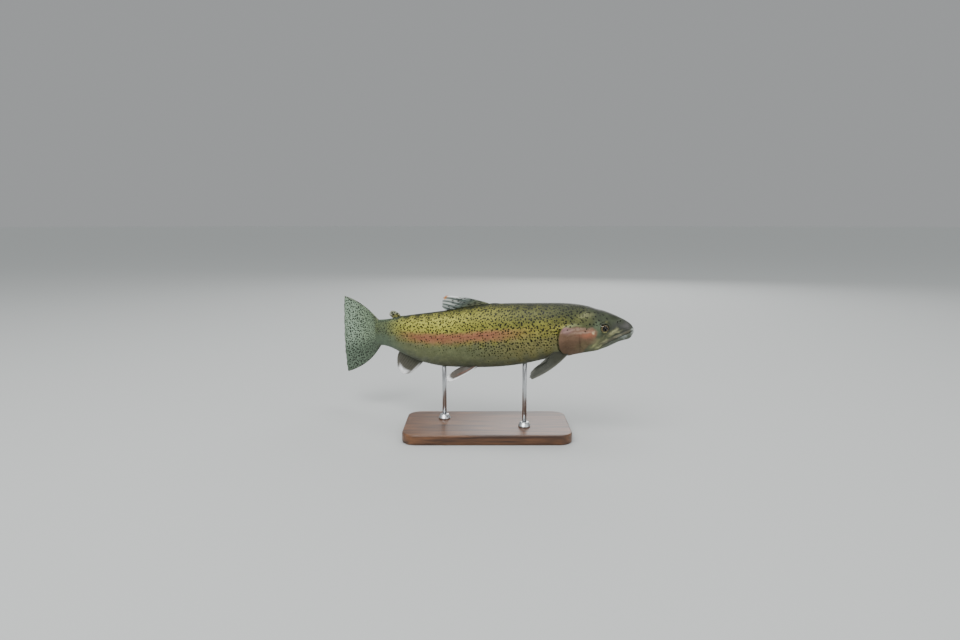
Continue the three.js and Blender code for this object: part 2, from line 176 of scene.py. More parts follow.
def loop_distance(s, z, loop):
    """Signed distance to a closed outline: positive inside it."""
    closed = np.vstack([loop, loop[:1]])
    near, _ = line_distance(s, z, closed)
    inside = np.zeros(s.shape, bool)
    for (x1, y1), (x2, y2) in zip(closed, closed[1:]):
        if y1 != y2:
            inside ^= ((z > y1) != (z > y2)) & (s < x1 + (z - y1) * (x2 - x1) / (y2 - y1))
    return np.where(inside, near, -near)


# ---- The body's surface -------------------------------------------------------------------------

backs, *measures = (np.array(column, float) for column in zip(*OUTLINE.values()))
top_at, belly_at, half_at = (spline(np.sqrt(backs), column) for column in measures)


def sections(s):
    root = np.sqrt(np.clip(s, 0, WRIST))
    crown = smoothstep(s, CROWN["start"], CROWN["full"]) * fade(s, CROWN["full"], CROWN["fade"])
    top, bottom = top_at(root), belly_at(root)
    lower = lerp(THROAT["round"], BELLY_ROUND, smoothstep(s, THROAT["start"], THROAT["end"]))
    return dict(
        top=top, bottom=bottom, half=half_at(root), level=lerp(bottom, top, WIDEST),
        upper=ROUND + CROWN["extra"] * crown, lower=lower,
    )


def on_body(s, turn, side):
    """The bare body's point at a distance back; turn runs from the keel to the ridge."""
    c = sections(s)
    across, up = np.clip(np.cos(turn), 0, 1), np.sin(turn)
    power = 2 / np.where(up > 0, c["upper"], c["lower"])
    reach = np.where(up > 0, c["top"] - c["level"], c["level"] - c["bottom"])
    width = side * across**power * c["half"]
    height = c["level"] + np.sign(up) * np.abs(up) ** power * reach
    shut = smoothstep(s, WRIST, FLESH_END)  # the flesh rounds off inside the tail fin
    size = np.sqrt(1 - shut**2)
    return np.stack([-s, width * size, height * size], -1)


def outward(s, turn, side):
    """The outward normal of the bare body."""
    ds, dt = 0.4, 0.012
    ahead, behind = np.clip(s - ds, 0.05, None), np.clip(s, 0.05, None) + ds
    below, above = np.clip(turn - dt, -UP, UP), np.clip(turn + dt, -UP, UP)
    along = on_body(behind, turn, side) - on_body(ahead, turn, side)
    around = on_body(s, above, side) - on_body(s, below, side)
    normal = np.cross(along, around) * np.asarray(side)[..., None]
    normal[np.abs(np.abs(turn) - UP) < 1e-5, 1] = 0
    normal[s < 0.02] = (1, 0, 0)
    return normal / np.maximum(np.linalg.norm(normal, axis=-1, keepdims=True), 1e-9)


# The girth's arc, measured from the widest level: turn as a function of back and arc.
BACK_STEP, ARC_STEP, TURN_STEPS = 2.0, 0.5, 360
ARC_BACKS = np.arange(0, FLESH_END + 1, BACK_STEP)
ARCS = np.arange(-100, 100 + ARC_STEP, ARC_STEP)


def arc_table():
    turns = np.linspace(-UP, UP, TURN_STEPS + 1)
    table, ends = [], []
    for back in ARC_BACKS:
        p = on_body(np.full(turns.shape, back), turns, np.ones(turns.shape))
        run = np.concatenate([[0], np.cumsum(np.linalg.norm(np.diff(p, axis=0), axis=1))])
        run -= run[TURN_STEPS // 2]
        table.append(np.interp(ARCS, run, turns))
        ends.append((run[0], run[-1]))
    return np.array(table), np.array(ends)


TURN_OF_ARC, ARC_ENDS = arc_table()


def arc_ends(s):
    """The arc at the keel and at the ridge of the back."""
    return tuple(np.interp(s, ARC_BACKS, ARC_ENDS[:, k]) for k in (0, 1))


def turn_at(s, arc):
    i = np.clip(s / BACK_STEP, 0, len(ARC_BACKS) - 1.001)
    j = np.clip((arc - ARCS[0]) / ARC_STEP, 0, len(ARCS) - 1.001)
    i0, j0 = i.astype(int), j.astype(int)
    t = TURN_OF_ARC
    near, far = (lerp(t[k, j0], t[k, j0 + 1], j - j0) for k in (i0, i0 + 1))
    return lerp(near, far, i - i0)


def arc_of(s, turn):
    """The arc of each point, from its turn."""
    rows = np.clip(s / BACK_STEP, 0, len(ARC_BACKS) - 1).astype(int)
    arc = np.zeros(len(s))
    for row in np.unique(rows):
        here = rows == row
        used = (ARCS >= ARC_ENDS[row, 0]) & (ARCS <= ARC_ENDS[row, 1])
        arc[here] = np.interp(turn[here], TURN_OF_ARC[row][used], ARCS[used])
    return arc


# ---- The relief of the head, in millimetres over the bare body --------------------------------

head_line = smooth_line(HEAD_EDGE, 6, closed=True)
mouth_line = smooth_line([(-3, 2.2), (3, 1.4), (8, -0.3), (22, -5.0), (40, -11.9), (54, -18.4),
                          (60, -23), (63, -26)])
upper_jaw = smooth_line([(8, 4.6), (22, 0.6), (40, -5.2), (55, -11.4), (63.5, -17), (65, -21),
                         (60, -22.6), (52, -18.4), (40, -12.6), (22, -5.2), (9, -0.6)], closed=True)
second_plate = smooth_line([(36, -3.2), (46, -6.4), (57, -11.6), (61.5, -16), (55, -14.2),
                            (45, -9.6)], closed=True)
cheek_edge = smooth_line([(84, 21), (90.5, 12), (95, 1), (96, -10), (92.5, -20), (84, -27),
                          (72, -30), (62, -31)])
# Ridges and grooves of the head: height, half width, how soon their ends begin, and the line.
CREASES = {
    "snout fold": (-0.45, 0.8, 0, [(4, 6.5), (12, 7.4), (22, 6.4), (32, 3)]),
    "cheek ridge": (0.5, 1.8, 0, [(79, 17), (83.5, 8), (85.5, -3), (83, -13), (76, -21),
                                  (66, -25.5)]),
    "lower seam": (-0.45, 0.8, 0.05, [(97, -14), (106, -18.5), (117, -19.5), (127, -16)]),
    "inner seam": (-0.45, 0.8, 0.05, [(66, -27), (78, -26.6), (90, -23.5), (96, -17)]),
    "under the eye": (-0.3, 0.8, 0.05, [(36, 8), (40, 1.5), (48, -2.2), (57, -2), (64, 3),
                                        (67, 10)]),
    "brow": (0.7, 3.2, 0, [(37, 20), (45, 23), (55, 23.5), (64, 20)]),
}


def gaze(side):
    forward, up = math.radians(EYE["forward"]), math.radians(EYE["up"])
    return np.array([math.sin(forward) * math.cos(up),
                     side * math.cos(forward) * math.cos(up), math.sin(up)])


def eye_place(side):
    """The middle of the eye's front, on the bare body."""
    c = sections(np.float64(EYE["back"]))
    above = EYE["height"] > c["level"]
    reach = c["top"] - c["level"] if above else c["level"] - c["bottom"]
    power = c["upper"] if above else c["lower"]
    rise = abs(EYE["height"] - c["level"]) / reach
    return np.array([-EYE["back"], side * c["half"] * (1 - rise**power) ** (1 / power),
                     EYE["height"]])


def eye_distance(p, side):
    """How far each point is from the line of sight of its side's eye."""
    far = np.zeros(len(p))
    for one in (-1, 1):
        offset = p - eye_place(one)
        off_sight = offset - (offset @ gaze(one))[:, None] * gaze(one)
        far = np.where(side == one, np.linalg.norm(off_sight, axis=1), far)
    return far


def gill_puff(s, z):
    g = GILL_PUFF
    band = smoothstep(z, g["low"] - g["soft"], g["low"]) * fade(z, g["high"], g["high"] + g["soft"])
    return g["rise"] * band * smoothstep(s, g["start"], g["full"])


def gill_slit(s, z):
    """Where the head's edge is the free rim of a gill cover, and not a seam in the skin."""
    return smoothstep(s, 92, 104) * fade(z, 9, 15)


def below_mouth(s, z):
    return z < np.interp(s, mouth_line[:, 0], mouth_line[:, 1])


def head_relief(p, s, side, edge):
    """The height of the head's own forms."""
    z, y = p[:, 2], np.abs(p[:, 1])
    # Lips, jaws and the bones of the upper jaw.
    h = 0.95 * smoothstep(loop_distance(s, z, upper_jaw), -0.5, 0.9) * smoothstep(s, 6, 16)
    h += 0.4 * smoothstep(loop_distance(s, z, second_plate), -0.4, 0.5)
    gape, along = line_distance(s, z, mouth_line)
    h -= lerp(1.5, 1.1, along) * bump(gape, 0, 0.75) * fade(along, 0.93, 1)
    below = below_mouth(s, z)
    h += 0.8 * below * bump(gape, 2.6, 1.8) * fade(s, 30, 60)
    h -= 0.9 * below * bump(s, 0, 5) * fade(z, -9, -3)
    h += 0.7 * ~below * bump(gape, 2.2, 1.5) * fade(s, 8, 16)

    # The soft floor of the mouth between the jaw's two arms, and the gill rays behind it.
    low = z < -4
    floor = low * smoothstep(0.2 * s + 1.5 - y, 0, 2.5) * smoothstep(s, 6, 14)
    h -= 1.1 * floor * fade(s, 52, 66)
    lane = y - 0.22 * (s - 60)
    rays = low * smoothstep(s, 58, 72) * fade(s, 112, 124)
    rays = rays * smoothstep(-26 - z, 0, 3) * fade(lane, 9, 12)
    h += 0.35 * rays * (0.5 + 0.5 * np.cos(TAU * lane / 2.6))

    # Cheek, gill cover and their seams.
    seam, along = line_distance(s, z, cheek_edge)
    front = s < np.interp(z, cheek_edge[::-1, 1], cheek_edge[::-1, 0])
    form = np.where(front, 0.55 * bump(seam, 0, 5.0), -0.5 * bump(seam, 0, 0.9))
    h += form * np.sin(np.pi * np.clip(along, 0.02, 1))
    cover = smoothstep(s, 98, 104) * smoothstep(edge, 1, 6) * fade(z, 6, 14)
    h += 0.09 * cover * np.cos(46 * np.arctan2(z - 13, s - 90))
    for height, width, start, line in CREASES.values():
        near, along = line_distance(s, z, smooth_line(line))
        h += height * bump(near, 0, width) * np.sin(np.pi * np.clip(along, start, 1 - start))

    # A shallow saddle where the skull ends, the orbit, and its thin rim round the eye.
    h -= 1.2 * bump(s, 63, 9) * smoothstep(z, 30, 41)
    orbit = eye_distance(p, side)
    h += 0.55 * bump(orbit, 8.9, 1.1) - 0.5 * bump(orbit, 10.9, 0.9) - 4.2 * fade(orbit, 6.5, 7.9)

    # Nostrils, with a flap of skin between the two of a pair.
    for back, height, radius in NOSTRILS:
        r = np.hypot(s - back, z - height)
        h += 0.35 * bump(r, radius * 1.35, 0.6) - 2.0 * fade(r, radius * 0.35, radius)
    return h


# Fins stand on low mounds of flesh: the base's two ends, the mound's height, and back or belly.
FIN_BASES = {
    "dorsal": (240, 311, 1.5, 1),
    "adipose": (430, 452, 0.9, 1),
    "anal": (389, 441, 1.3, -1),
}


def relief(p, s, turn, side):
    """How far the skin stands off the bare body."""
    z = p[:, 2]
    edge, slit = loop_distance(s, z, head_line), gill_slit(s, z)
    rise = gill_puff(s, z) * lerp(smoothstep(edge, -18, 0.5), smoothstep(edge, -0.9, 0.5), slit)
    rise += slit * (0.35 * bump(edge, 1.4, 1.0) - 1.5 * bump(edge, -1.5, 1.1))
    rise -= COAT_DEPTH * fade(edge, -2.2, 0.2)
    for first, last, high, way in FIN_BASES.values():
        along = smoothstep(s, first - 10, first + 4) * fade(s, last - 4, last + 10)
        rise += high * along * bump(turn, way * UP, 0.16)
    head = s < HEAD_END
    rise[head] += head_relief(p[head], s[head], side[head], edge[head])
    return rise


def skin_point(s, turn, side, extra=0.0):
    """A point of the skin, straight, in millimetres, with extra height over it."""
    p = on_body(s, turn, side)
    return p + outward(s, turn, side) * (relief(p, s, turn, side) + extra)[:, None]


# ---- The pose -----------------------------------------------------------------------------------


def walk_spine():
    back = np.arange(SPINE_LENGTH + 1, dtype=float)
    turned = HEADING + sum(by * smoothstep(back, low, high) for low, high, by in TURNS)
    heading = np.radians(turned)
    x = np.concatenate([[0], -np.cumsum(np.cos(heading))[:-1]])
    y = np.concatenate([[0], np.cumsum(np.sin(heading))[:-1]])
    return back, x, y, heading


SPINE = walk_spine()


def posed(p):
    """Bends straight points along the spine and sets them over the stand, in metres."""
    back, xs, ys, headings = SPINE
    s = -p[:, 0]
    x, y, heading = (np.interp(s, back, column) for column in (xs, ys, headings))
    x = np.where(s < 0, -s, x) + p[:, 1] * np.sin(heading)
    y = y + p[:, 1] * np.cos(heading)
    up, level = math.sin(math.radians(NOSE_UP)), math.cos(math.radians(NOSE_UP))
    mid_x, mid_y = (np.interp(STANDS_OVER, back, column) for column in (xs, ys))
    return np.stack([x * level - p[:, 2] * up - mid_x * level, y - mid_y,
                     x * up + p[:, 2] * level + SNOUT_HEIGHT], -1) * MM


# ---- Paint --------------------------------------------------------------------------------------


def shade(code):
    """An sRGB hex colour as linear red, green and blue."""
    channels = [int(code[i : i + 2], 16) / 255 for i in (1, 3, 5)]
    return np.array([c / 12.92 if c <= 0.04045 else ((c + 0.055) / 1.055) ** 2.4 for c in channels])


def ground_of(code, count):
    return np.tile(shade(code), (count, 1))


def layer(colour, code, mask):
    """Paints a colour over others, as strong as the mask."""
    return lerp(colour, shade(code), np.clip(mask, 0, 1)[:, None])


SIDE_LINE = 2.0  # the lateral line's arc over the widest level
PAINT_STRAY = 0.9  # how far the edges of the painted zones wander, in millimetres
RIPPLES = np.random.default_rng(7).uniform(-1, 1, (4, 9, 3))

blush_line = smooth_line([(66, 5), (69, 11), (77, 14), (90, 15.5), (103, 16.5), (118, 17), (128, 13),
                          (134, 0), (134, -14), (130, -28), (114, -38), (93, -33), (84, -23),
                          (76, -13), (70, -4)], closed=True)

# Pale streaks of the face, one of them a painted highlight over the eye: colour, strength, half
# width, and a line of backs and heights.
STREAKS = [
    ("#a3a276", 0.85, 2.4, [(50, -5), (42, 1.1), (34, 6.4), (27.6, 11.3)]),
    ("#96966f", 0.65, 1.9, [(44, -4), (36, 0.6), (27, 3.4), (21, 5.1)]),
    ("#84855f", 0.5, 1.8, [(59, -6), (52, -1.5), (46, 0.6)]),
    ("#a5a670", 0.8, 2.2, [(78, -24.5), (72, -19), (66, -11.5), (61, -4.8)]),
    ("#b4b482", 0.8, 2.3, [(70, -27), (64, -22.5), (58, -17.2)]),
    ("#8d8d66", 0.55, 2.0, [(60, -14), (54, -11), (48, -5)]),
    # A painted highlight on the brow over the eye.
    ("#a3a262", 0.6, 1.4, [(51, 22.5), (48.3, 23), (45, 22.2)]),
    ("#8f9892", 0.75, 2.0, [(31, -9), (24, -7), (16, -5), (8, -3)]),
]

# Soft ovals of colour: colour, strength, middle, half size, and how soft the edge is.
CROWN_OVALS = [
    ("#535634", 0.9, (96, 30), (24, 14), 0.55),
    ("#7d7d58", 0.75, (88, 36.5), (14, 3.2), 0.8),
    ("#3a3c35", 1, (22, 8), (24, 13), 0.55),
    ("#5b5858", 0.5, (14, 12), (8, 4), 0.9),
    ("#5c6750", 0.85, (65, 12), (7, 12), 0.55),
    ("#24271d", 0.7, (51, -1.8), (9, 1.8), 0.8),
]
COVER_OVALS = [
    ("#5d4a38", 0.8, (108, -22), (27, 17), 0.8),
    ("#6b6144", 0.75, (88, -22), (12, 12), 0.8),
    ("#a5684f", 0.85, (81, 4), (15, 6), 0.8),
    ("#87695a", 0.8, (106, 11), (27, 5.5), 0.8),
    ("#8d6c70", 0.8, (116, 12), (8, 5), 0.8),
]
HIGHLIGHT_AND_TAN_OVALS = [
    # A painted highlight on the cheek behind the eye, then a greenish tan patch.
    ("#dccaa0", 0.85, (71, 6), (1.5, 2.0), 0.95),
    ("#807658", 0.75, (71.5, -9), (6, 5.5), 0.8),
]


def ripple(u, v, which):
    """A smooth, irregular wander between about -1 and 1, over both directions of the skin."""
    total = np.zeros(len(u))
    for k, (a, b, phase) in enumerate(RIPPLES[which]):
        wave = np.sin(TAU * ((a * u + b * v) / (3.0 + 2.2 * k) + phase))
        total += wave * (0.25 + 0.05 * k)
    return total


def paint_ovals(colour, ovals, s, z, within=1.0):
    for code, strength, middle, half, soft in ovals:
        colour = layer(colour, code, strength * within * patch(s, z, middle, half, soft))
    return colour


def trunk_paint(s, h, stripe):
    """From the belly up to the ridge of the back, then the side stripe and the tail's stalk."""
    fore = fade(s, 170, 290)
    # The belly's grey olive is darker than a trout's silvery belly: its own colour with painted
    # shade of the underside.
    c = ground_of("#565a4b", len(s))
    c = layer(c, "#666b4b", smoothstep(h, -0.95, -0.35))
    c = layer(c, "#7a7446", 0.9 * smoothstep(h, -0.85, -0.35) * fore)
    c = layer(c, "#898739", smoothstep(h, -0.3, 0.1))
    # Painted sunlight: a brighter yellow over the rear upper flank.
    c = layer(c, "#a3a147", 0.9 * smoothstep(h, 0, 0.3) * smoothstep(s, 270, 340))
    # Painted shade: the upper flank grows darker towards the head.
    c = layer(c, "#4f5128", 0.95 * smoothstep(h, -0.08, 0.5) * fore)
    c = layer(c, "#3a3f28", 0.85 * smoothstep(h, 0.1, 0.5) * fade(s, 110, 170))
    c = layer(c, "#1f230c", smoothstep(h, 0.55, 0.96))
    c = layer(c, "#945f49", 0.92 * stripe)
    # The stalk's darker blue-green is its own colour with painted shade of the lower rear body.
    return layer(c, "#566752", 0.85 * smoothstep(s, 400, 480))


def head_paint(s, z, h, jaw, plate, cover, edge):
    """From the crown down to the throat: streaked face, pale jaws and a rose gill cover."""
    k = ground_of("#3b4130", len(s))
    k = layer(k, "#1e2215", smoothstep(h, 0.35, 0.9))
    k = paint_ovals(k, CROWN_OVALS, s, z)
    k = layer(k, "#4d503a", smoothstep(-z, 12, 26) * fade(s, 80, 100))
    k = layer(k, "#6c6d4f", 0.75 * patch(s, z, (60, -11), (7, 8), 0.8))
    k = layer(k, "#575c4f", 0.9 * jaw * fade(s, 48, 60))
    k = layer(k, "#8a908a", 0.6 * jaw * smoothstep(ripple(s, z, 0), 0.1, 1.2) * fade(s, 34, 50))
    k = layer(k, "#a9aea8", 0.85 * fade(s, 3, 9) * smoothstep(z, -11, -6) * fade(z, 4, 8))
    k = layer(k, "#5b5849", 0.85 * plate)
    k = layer(k, "#85826a", 0.6 * plate * smoothstep(ripple(s, z, 1), 0.0, 1.1))
    k = layer(k, "#6f7250", 0.8 * patch(s, z, (67, -21), (11, 7), 0.8))
    broken = 0.6 + 0.4 * smoothstep(ripple(s, z, 2), -0.4, 0.8)
    for code, strength, width, points in STREAKS:
        near, along = line_distance(s, z, smooth_line(points))
        ends = np.sin(np.pi * along) ** 0.8
        k = layer(k, code, strength * broken * bump(near, 0, width) * ends)

    # Rose on the cheek and the gill cover: paler above with a painted pearly sheen, dusky below.
    k = layer(k, "#785d4a", 0.95 * cover)
    k = paint_ovals(k, COVER_OVALS, s, z, cover)
    # Painted pearly sheen: pale wavy bands over the upper gill cover.
    pearl = 0.5 + 0.5 * np.sin(0.9 * (z + 0.12 * (s - 70)) + 1.2 * np.sin(s / 9))
    k = layer(k, "#b39a84", 0.6 * pearl * cover * patch(s, z, (94, 10), (26, 6), 0.8))
    k = layer(k, "#8f9468", 0.7 * patch(s, z, (110, 19.5), (12, 2.4), 0.9) * (edge > 0))
    k = paint_ovals(k, HIGHLIGHT_AND_TAN_OVALS, s, z)
    return layer(k, "#4a352b", 0.4 * bump(s, 96, 1.6) * cover * fade(z, -2, 8))


def skin_paint(p, s, side, arc):
    """The ground colour, and how many and how large the spots and how silvery the skin is."""
    z = p[:, 2]
    low, high = arc_ends(s)
    h = np.where(arc > 0, arc / np.maximum(high, 1), arc / np.maximum(-low, 1))
    edge = loop_distance(s, z, head_line)
    naked = smoothstep(edge, -1.5, 0.8)
    blend = lerp(naked, smoothstep(edge, -16, 9), smoothstep(z, 17, 27))
    jaw = below_mouth(s, z)
    plate = smoothstep(loop_distance(s, z, upper_jaw), -0.5, 1.5)
    gape, along = line_distance(s, z, mouth_line)
    mouth = bump(gape, 0, 0.9) * fade(along, 0.9, 1)
    slit = gill_slit(s, z) * bump(edge, -1.6, 0.9)
    holes = sum(fade(np.hypot(s - back, z - height), radius * 0.4, radius * 0.9)
                for back, height, radius in NOSTRILS)

    # From here on the zones' edges wander.
    h = h + 0.05 * ripple(s, arc, 0)
    arc = arc + PAINT_STRAY * ripple(s, arc, 1)
    s, z = s + PAINT_STRAY * ripple(s, z, 2), z + PAINT_STRAY * ripple(s, z, 3)
    away = np.abs(arc - SIDE_LINE)
    stripe = np.where(arc > SIDE_LINE, np.exp(-((away / 9.5) ** 4)), np.exp(-((away / 10.5) ** 3)))
    # The stripe is faint in front; its fading out towards the tail is painted shade of the lower
    # rear body.
    stripe = stripe * lerp(0.05, 1, smoothstep(s, 150, 250) * fade(s, 380, 450))
    cover = smoothstep(loop_distance(s, z, blush_line), -3.0, 4.5) * smoothstep(edge, -0.5, 0.8)
    head = head_paint(s, z, h, jaw, plate, cover, edge)
    # Dark lines where the mouth, the eye's rim, the nostrils and the gill slit shade the skin.
    head = layer(head, "#15170f", 0.75 * mouth)
    head = layer(head, "#1c1e15", 0.4 * bump(eye_distance(p, side), 8.3, 0.7))
    head = layer(head, "#0d0e0a", holes)
    colour = lerp(trunk_paint(s, h, stripe), head, blend[:, None])
    colour = layer(colour, "#1a1711", 0.8 * slit)

    # How many cells of the pattern hold a spot, and how large a spot is.
    foot = lerp(-0.42, -0.72, fade(s, 230, 330))
    many = smoothstep(h, foot, foot + 0.34) * (1 - 0.45 * stripe * smoothstep(s, 190, 250))
    wide = lerp(0.66, 1.0, smoothstep(h, foot, foot + 0.55)) * (1 - 0.18 * stripe)
    sparse = 0.5 * smoothstep(z, 13, 19) * smoothstep(s, 40, 60)
    sparse = np.maximum(sparse, 0.2 * smoothstep(s, 76, 84) * smoothstep(z, 6, 11))
    sparse = sparse * (1 - 0.6 * patch(s, z, (86, 48), (30, 8)))
    silver = 0.1 + 0.15 * smoothstep(h, -0.9, -0.3) * fade(h, 0.3, 0.8)
    return colour, np.stack([lerp(many, sparse, naked), lerp(wide, 0.95, naked),
                             lerp(silver, 0.1 + 0.25 * cover, naked)], -1)


# ---- Pieces -------------------------------------------------------------------------------------


def put(name, data):
    """Adds a named object to the scene."""
    thing = bpy.data.objects.new(name, data)
    bpy.context.scene.collection.objects.link(thing)
    return thing


def piece(bm, name, material):
    """Makes a finished, named object of a bmesh and lets it ride on the fish's one body."""
    mesh = bpy.data.meshes.new(name)
    for face in bm.faces:
        face.smooth = True
    bm.to_mesh(mesh)
    bm.free()
    mesh.materials.append(material)
    thing = put(name, mesh)
    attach(thing, "root")
    return thing


def places(bm):
    return np.array([v.co[:] for v in bm.verts])


def move_to(bm, points):
    for v, point in zip(bm.verts, points):
        v.co = point


def spun(bm, profile, steps):
    """Turns a profile of radius and height once round the Z axis into a closed form."""
    line = [bm.verts.new((radius, 0, height)) for radius, height in profile]
    edges = [bm.edges.new(pair) for pair in zip(line[:-1], line[1:])]
    bmesh.ops.spin(bm, geom=line + edges, cent=(0, 0, 0), axis=(0, 0, 1), angle=TAU, steps=steps,
                   use_merge=True)
    bmesh.ops.remove_doubles(bm, verts=bm.verts[:], dist=1e-5)
    bmesh.ops.recalc_face_normals(bm, faces=bm.faces[:])


def store(thing, name, values):
    """Keeps three numbers a vertex, which the materials read."""
    made = thing.data.attributes.new(name, "FLOAT_VECTOR", "POINT")
    made.data.foreach_set("vector", np.asarray(values, np.float32).ravel())


def store_map(thing, points):
    """Keeps a place on the map that is baked, for each vertex."""
    made = thing.data.uv_layers.new(name="OFBake")
    corners = np.empty(len(thing.data.loops), np.int32)
    thing.data.loops.foreach_get("vertex_index", corners)
    made.data.foreach_set("uv", np.asarray(points, np.float32)[corners].ravel())


def dress(thing, p, s, arc, side):
    """Keeps a coat's paint, and its lay: back, arc off the ridge, and arc, in metres."""
    colour, marks = skin_paint(p, s, side, arc)
    store(thing, "ground", colour)
    store(thing, "marks", marks)
    store(thing, "lay", np.stack([s, side * (arc_ends(s)[1] - arc), arc], -1) * MM)


# ---- Materials ----------------------------------------------------------------------------------


def node_adder(tree):
    """The function that adds a node to a tree: values fill its first sockets, capitalised names
    its named sockets, and small-letter names its settings. A colour is given as its hex code,
    and a node stands for its first output in use."""

    def add(kind, *values, **named):
        made = tree.nodes.new("ShaderNode" + kind)
        for name, value in named.items():
            if name[0].islower():
                setattr(made, name, value)
        filled = list(zip(made.inputs, values))
        for name, value in named.items():
            label = name.replace("_", " ")
            filled += [(i, value) for i in made.inputs if i.name == label and i.enabled]
        for socket, value in filled:
            if isinstance(value, bpy.types.Node):
                value = next(output for output in value.outputs if output.enabled)
            if isinstance(value, bpy.types.NodeSocket):
                tree.links.new(value, socket)
            else:
                socket.default_value = (*shade(value), 1) if isinstance(value, str) else value
        return made

    return add


def new_material(name):
    made = bpy.data.materials.new(name)
    made.use_nodes = True
    made.node_tree.nodes.clear()
    return made, node_adder(made.node_tree)


def per_mm(size):
    """A texture's scale for a pattern whose cells are this many millimetres."""
    return 1 / (size * MM)


def mottle(add, place, size, low, high):
    """A soft, uneven brightness between two values."""
    noise = add("TexNoise", Vector=place, Scale=per_mm(size), Detail=3.0, Roughness=0.6)
    return add("MapRange", Value=noise, From_Min=0.3, From_Max=0.7, To_Min=low, To_Max=high)


SPOT_SPACING, SPOT_INK = 4.9, "#111209"
SPECK_SPACING = 2.7


def spots(add, place, many, wide, spacing, radius, spread, soft):
    """A mask of irregular spots, one in some of the cells of a pattern."""
    wobble = add("TexNoise", Vector=place, Scale=per_mm(spacing * 0.45), Detail=1.0)
    shift = add("VectorMath", wobble.outputs["Color"], (0.5, 0.5, 0.5), operation="SUBTRACT")
    shift = add("VectorMath", shift, Scale=spacing * 0.55 * MM, operation="SCALE")
    there = add("VectorMath", place, shift)
    cells = add("TexVoronoi", Vector=there, Scale=per_mm(spacing), Randomness=0.9,
                voronoi_dimensions="2D")
    chance = add("SeparateColor", cells.outputs["Color"])
    size = add("Math", chance, spread, radius, operation="MULTIPLY_ADD")
    size = add("Math", size, wide, operation="MULTIPLY")
    inner = add("Math", size, cells, operation="SUBTRACT")
    mask = add("Math", inner, soft, operation="DIVIDE", use_clamp=True)
    taken = add("Math", chance.outputs[1], many, operation="LESS_THAN")
    return add("Math", mask, taken, operation="MULTIPLY")


def scale_tone(add, tone):
    """Each scale a little lighter or darker than the next, and dark at its free rim."""
    fan = add("Attribute", attribute_name="fan").outputs["Vector"]
    across, along, luck = add("SeparateXYZ", fan).outputs
    own = add("MapRange", Value=add("Math", luck, operation="FRACT"), To_Min=0.92, To_Max=1.08)
    tone = add("VectorMath", tone, Scale=own, operation="SCALE")
    # The pore of each scale of the lateral line: a short, dark dash along its middle.
    middle = add("Math", across, 0.0, 0.16, operation="COMPARE")
    dash = add("Math", along, 0.25, 0.42, operation="COMPARE")
    listed = add("Math", luck, 1.0, operation="GREATER_THAN")
    pore = add("Math", middle, dash, operation="MULTIPLY")
    pore = add("Math", pore, listed, operation="MULTIPLY")
    pore = add("Math", pore, -0.55, 1.0, operation="MULTIPLY_ADD")
    tone = add("VectorMath", tone, Scale=pore, operation="SCALE")
    rim = add("MapRange", Value=along, From_Min=0.6, From_Max=1.0, To_Min=1.0, To_Max=0.8)
    return add("VectorMath", tone, Scale=rim, operation="SCALE")


def wet_skin(name, scaled):
    """Painted, varnished skin: wet scales or smooth naked skin, spotted, over a faint silver."""
    material, add = new_material(name)
    lay = add("Attribute", attribute_name="lay").outputs["Vector"]
    marks = add("Attribute", attribute_name="marks").outputs["Vector"]
    many, wide, silver = add("SeparateXYZ", marks).outputs
    tone = add("Attribute", attribute_name="ground")
    for size, low, high in ((14, 0.82, 1.16), (2.2, 0.88, 1.12)):
        tone = add("VectorMath", tone, Scale=mottle(add, lay, size, low, high), operation="SCALE")
    if scaled:
        tone = scale_tone(add, tone)
    large = spots(add, lay, many, wide, SPOT_SPACING, 0.24, 0.16, 0.07)
    fewer = add("Math", many, 0.42, operation="MULTIPLY")
    small = spots(add, lay, fewer, wide, SPECK_SPACING, 0.16, 0.2, 0.1)
    small = add("Math", small, 0.8, operation="MULTIPLY")
    inked = add("Mix", Factor=small, A=tone, B=SPOT_INK, data_type="RGBA")
    inked = add("Mix", Factor=large, A=inked, B=SPOT_INK, data_type="RGBA")
    grain = add("TexNoise", Vector=lay, Scale=per_mm(0.9), Detail=2.0)
    raised = add("Bump", Height=grain, Strength=0.25, Distance=0.12 * MM)
    skin = add("BsdfPrincipled", Base_Color=inked, Roughness=mottle(add, lay, 5, 0.46, 0.62),
               Metallic=silver, IOR=1.38, Specular_IOR_Level=0.35, Coat_Weight=0.06,
               Coat_Roughness=0.2, Normal=raised)
    add("OutputMaterial", skin)
    return material


# ---- The skin -----------------------------------------------------------------------------------

SKIN_SIDES, SKIN_RINGS = 120, 236
HEAD_RINGS = 0.52  # the share of the rings that lies on the head
FINE_END = 131  # the mesh is twice as fine in front of this


def back_of(v):
    """How far back a ring is, from its share of the way down the mesh."""
    head = HEAD_END * (np.minimum(v, HEAD_RINGS) / HEAD_RINGS) ** 1.5
    rest = np.clip((v - HEAD_RINGS) / (1 - HEAD_RINGS), 0, 1)
    return np.where(v < HEAD_RINGS, head, FLESH_END - (FLESH_END - HEAD_END) * (1 - rest) ** 1.12)


def on_ball(points):
    """Back, turn and side of points of the ball that the skin is drawn on, and their angles."""
    polar = np.arctan2(np.hypot(points[:, 0], points[:, 1]), points[:, 2])
    around = np.arctan2(points[:, 1], points[:, 0])
    side = np.where(np.cos(around) > 0, 1.0, -1.0)
    turn = np.arctan2(np.sin(around), np.abs(np.cos(around)))
    return back_of(polar / math.pi), turn, side, polar / math.pi, around


def refine(bm, wanted):
    """Halves the mesh where wanted(back, turn, side) says so."""
    bm.faces.ensure_lookup_table()
    centres = np.array([f.calc_center_median()[:] for f in bm.faces])
    chosen = wanted(*on_ball(centres)[:3])
    edges = {e for f, take in zip(bm.faces, chosen) if take for e in f.edges}
    bmesh.ops.subdivide_edges(bm, edges=list(edges), cuts=1, use_grid_fill=True)


